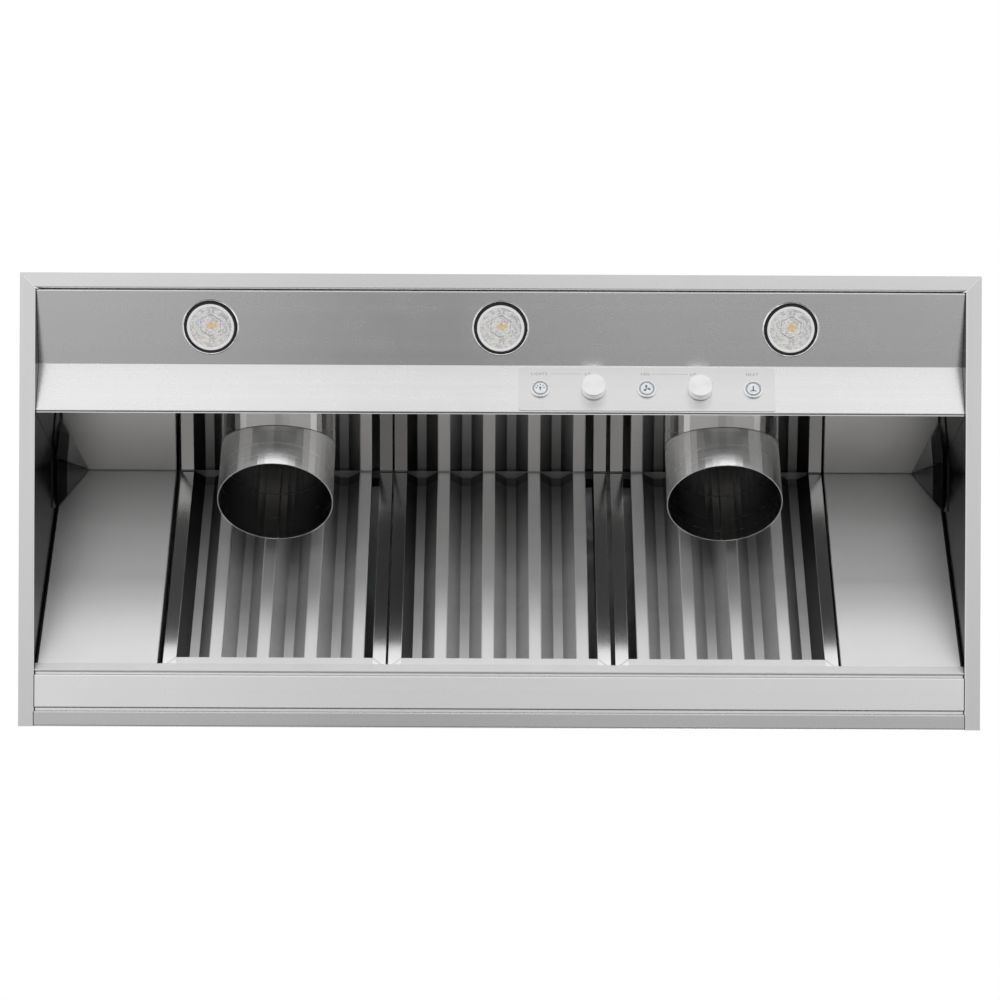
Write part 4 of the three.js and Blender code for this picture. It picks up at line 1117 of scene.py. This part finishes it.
legends = {}
for label, (words, x) in LEGENDS.items():
    points, faces = lettering(words)
    legends[label] = points + (x, LEGEND_Y, PLATE_TOP + PRINT / 2), faces
for label, (x0, x1) in LEGEND_LINES.items():
    line = bar(x0, x1, LEGEND_Y - HALF_LINE, LEGEND_Y + HALF_LINE)
    legends[label] = prism(line, PLATE_TOP, PLATE_TOP + PRINT)
for label, shape in legends.items():
    lay_piece(f"{label}_legend", shape, control_panel, 0.0, legend_ink, "casing")
print("labels:", list(legends))


# %% Symbols and halo rings of the buttons
CONTROL_X = 180.0
CONTROL_PITCH = 65.5
HALO_FLOOR = 3.1
HALO_TOP = HALO_FLOOR + 0.25
HALO_PROFILE = [(8.2, HALO_FLOOR), (9.7, HALO_FLOOR), (9.6, HALO_TOP), (8.3, HALO_TOP)]
CAP_TOP = 3.9
SYMBOL_SCALE = 1.4
symbol_ink = moulded("symbol_ink", (0.14, 0.16, 0.20), (0.20, 0.22, 0.26), 0.4, 0.55)
halo_plastic = moulded("halo_plastic", (0.38, 0.43, 0.50), (0.48, 0.53, 0.60), 0.2, 0.35)
for label, (place, draw) in SYMBOLS.items():
    x = CONTROL_X + place * CONTROL_PITCH
    shape = together([prism(outline * SYMBOL_SCALE, CAP_TOP, CAP_TOP + PRINT) for outline in draw()])
    lay_piece(f"{label}_symbol", shape, control_panel, x, symbol_ink, f"{label}_button")
    halo = lathe(HALO_PROFILE, 48)
    lay_piece(f"{label}_halo", halo, control_panel, x, halo_plastic, "casing", smooth=True)
print("buttons at", [CONTROL_X + place * CONTROL_PITCH for place, draw in SYMBOLS.values()], "mm")


# %% [markdown]
# Sheet-metal parts need fasteners. Hexagon-head screws with a wide washer face hold the duct
# collar to the top panel, and the top panel to the walls. They are small and many, so each has
# about a hundred faces: a lathe with six sides for the head, and one with more sides for the
# washer face.

# %% A screw
SCREW_HEAD = 3.6
HEAD_EDGE = SCREW_HEAD + 0.5
HEAD_PROFILE = [(0, 1.0), (HEAD_EDGE, 1.0), (HEAD_EDGE, 4.0), (SCREW_HEAD - 0.2, 4.6), (0, 4.6)]
WASHER_PROFILE = [(0, 0), (5.2, 0), (5.2, 0.7), (4.6, 1.1), (0, 1.1)]
screw_steel = moulded(
    "screw_steel", (0.48, 0.49, 0.50), (0.62, 0.62, 0.61), 0.25, 0.4, 900.0, 0.00002, Metallic=1.0
)


def screw(x, y, z):
    """A washer-faced hexagon head, standing on the point (x, y, z) and facing up."""
    points, faces = together([lathe(WASHER_PROFILE, 18), lathe(HEAD_PROFILE, 6)])
    return (points + (x, y, z)) * MM, faces


print("a screw has", len(screw(0, 0, 0)[1]), "faces")


# %% The rows of screws
TOP_FACE = 305.0
COLLAR_Y = 162.3
COLLAR_RING = 108.0
COLLAR_TOP = 306.5
SIDE_ROW_X = 562.0
SIDE_ROW_END = 258.0
FRONT_ROW_Y = -250.0
BACK_ROW_Y = 269.0
CROSS_ROW_END = 480.0
COLLAR_CLEAR = 200.0

collar_screws = []
for turn in np.radians(np.arange(8) * 45 + 22.5):
    x, y = COLLAR_RING * math.cos(turn), COLLAR_Y + COLLAR_RING * math.sin(turn)
    collar_screws.append(screw(x, y, COLLAR_TOP))
make_piece("collar_screws", together(collar_screws), screw_steel, "casing")
edge_y = np.linspace(-SIDE_ROW_END, SIDE_ROW_END, 6)
edge_x = np.linspace(-CROSS_ROW_END, CROSS_ROW_END, 7)
panel_screws = [screw(side * SIDE_ROW_X, y, TOP_FACE) for side in (-1, 1) for y in edge_y]
panel_screws += [screw(x, FRONT_ROW_Y, TOP_FACE) for x in edge_x]
panel_screws += [screw(x, BACK_ROW_Y, TOP_FACE) for x in edge_x if abs(x) > COLLAR_CLEAR]
make_piece("top_panel_screws", together(panel_screws), screw_steel, "casing")
print("screws:", len(collar_screws) + len(panel_screws))


# %% [markdown]
# Each shroud is a strip rolled into a tube and welded along one line. The weld is ground flat
# outside and left as a low bead inside, where the photograph shows it as a faint line that runs
# from the mouth's top edge to its bottom edge. A half-round bead laid along the tube's wall is
# enough, drawn in the tube's own axes and then tilted with it.

# %% Weld beads inside the shrouds
SIDES = ("left", "right")
SHROUD_DEPTH = 174.0
BEAD = 0.9
BEAD_RISE = 0.35
BEAD_SINK = 0.02
BEAD_END = -0.4
shroud_up = (0.0, -math.cos(SHROUD_TILT), -math.sin(SHROUD_TILT))
shroud_face = (np.array((0.0, *SHROUD_MOUTH)) * MM, np.array(((1.0, 0.0, 0.0), shroud_up, SHROUD_AXIS)))


def weld_bead():
    """A low half-round ridge on the bore's wall, from the mouth to the closed end, with a ripple
    along it: its width and height swing by 0.12 and 0.25 of themselves with the sine of 2.2 z."""
    along = np.linspace(-SHROUD_DEPTH, BEAD_END, 160)
    turn = np.linspace(0, math.pi, 7)
    z, t = np.meshgrid(along, turn, indexing="ij")
    ripple = np.sin(z * 2.2)
    x = BEAD * (1 + 0.12 * ripple) * np.cos(t)
    y = -SHROUD_BORE + BEAD_RISE * np.sin(t) * (1 + 0.25 * ripple) - BEAD_SINK
    points = np.stack((x, y, z), axis=-1).reshape(-1, 3)
    n, m = len(along), len(turn)
    ends = [list(range(m))[::-1], list(range((n - 1) * m, n * m))]
    return points, grid_faces(n, m) + ends


weld_steel = moulded(
    "weld_steel", (0.30, 0.29, 0.28), (0.42, 0.41, 0.40), 0.35, 0.55, 900.0, 0.00003, Metallic=1.0
)
for side, x in zip(SIDES, (-SHROUD_X, SHROUD_X)):
    name = f"{side}_shroud_weld"
    lay_piece(name, weld_bead(), shroud_face, x, weld_steel, "casing", smooth=True)
print("weld beads:", len(SIDES))
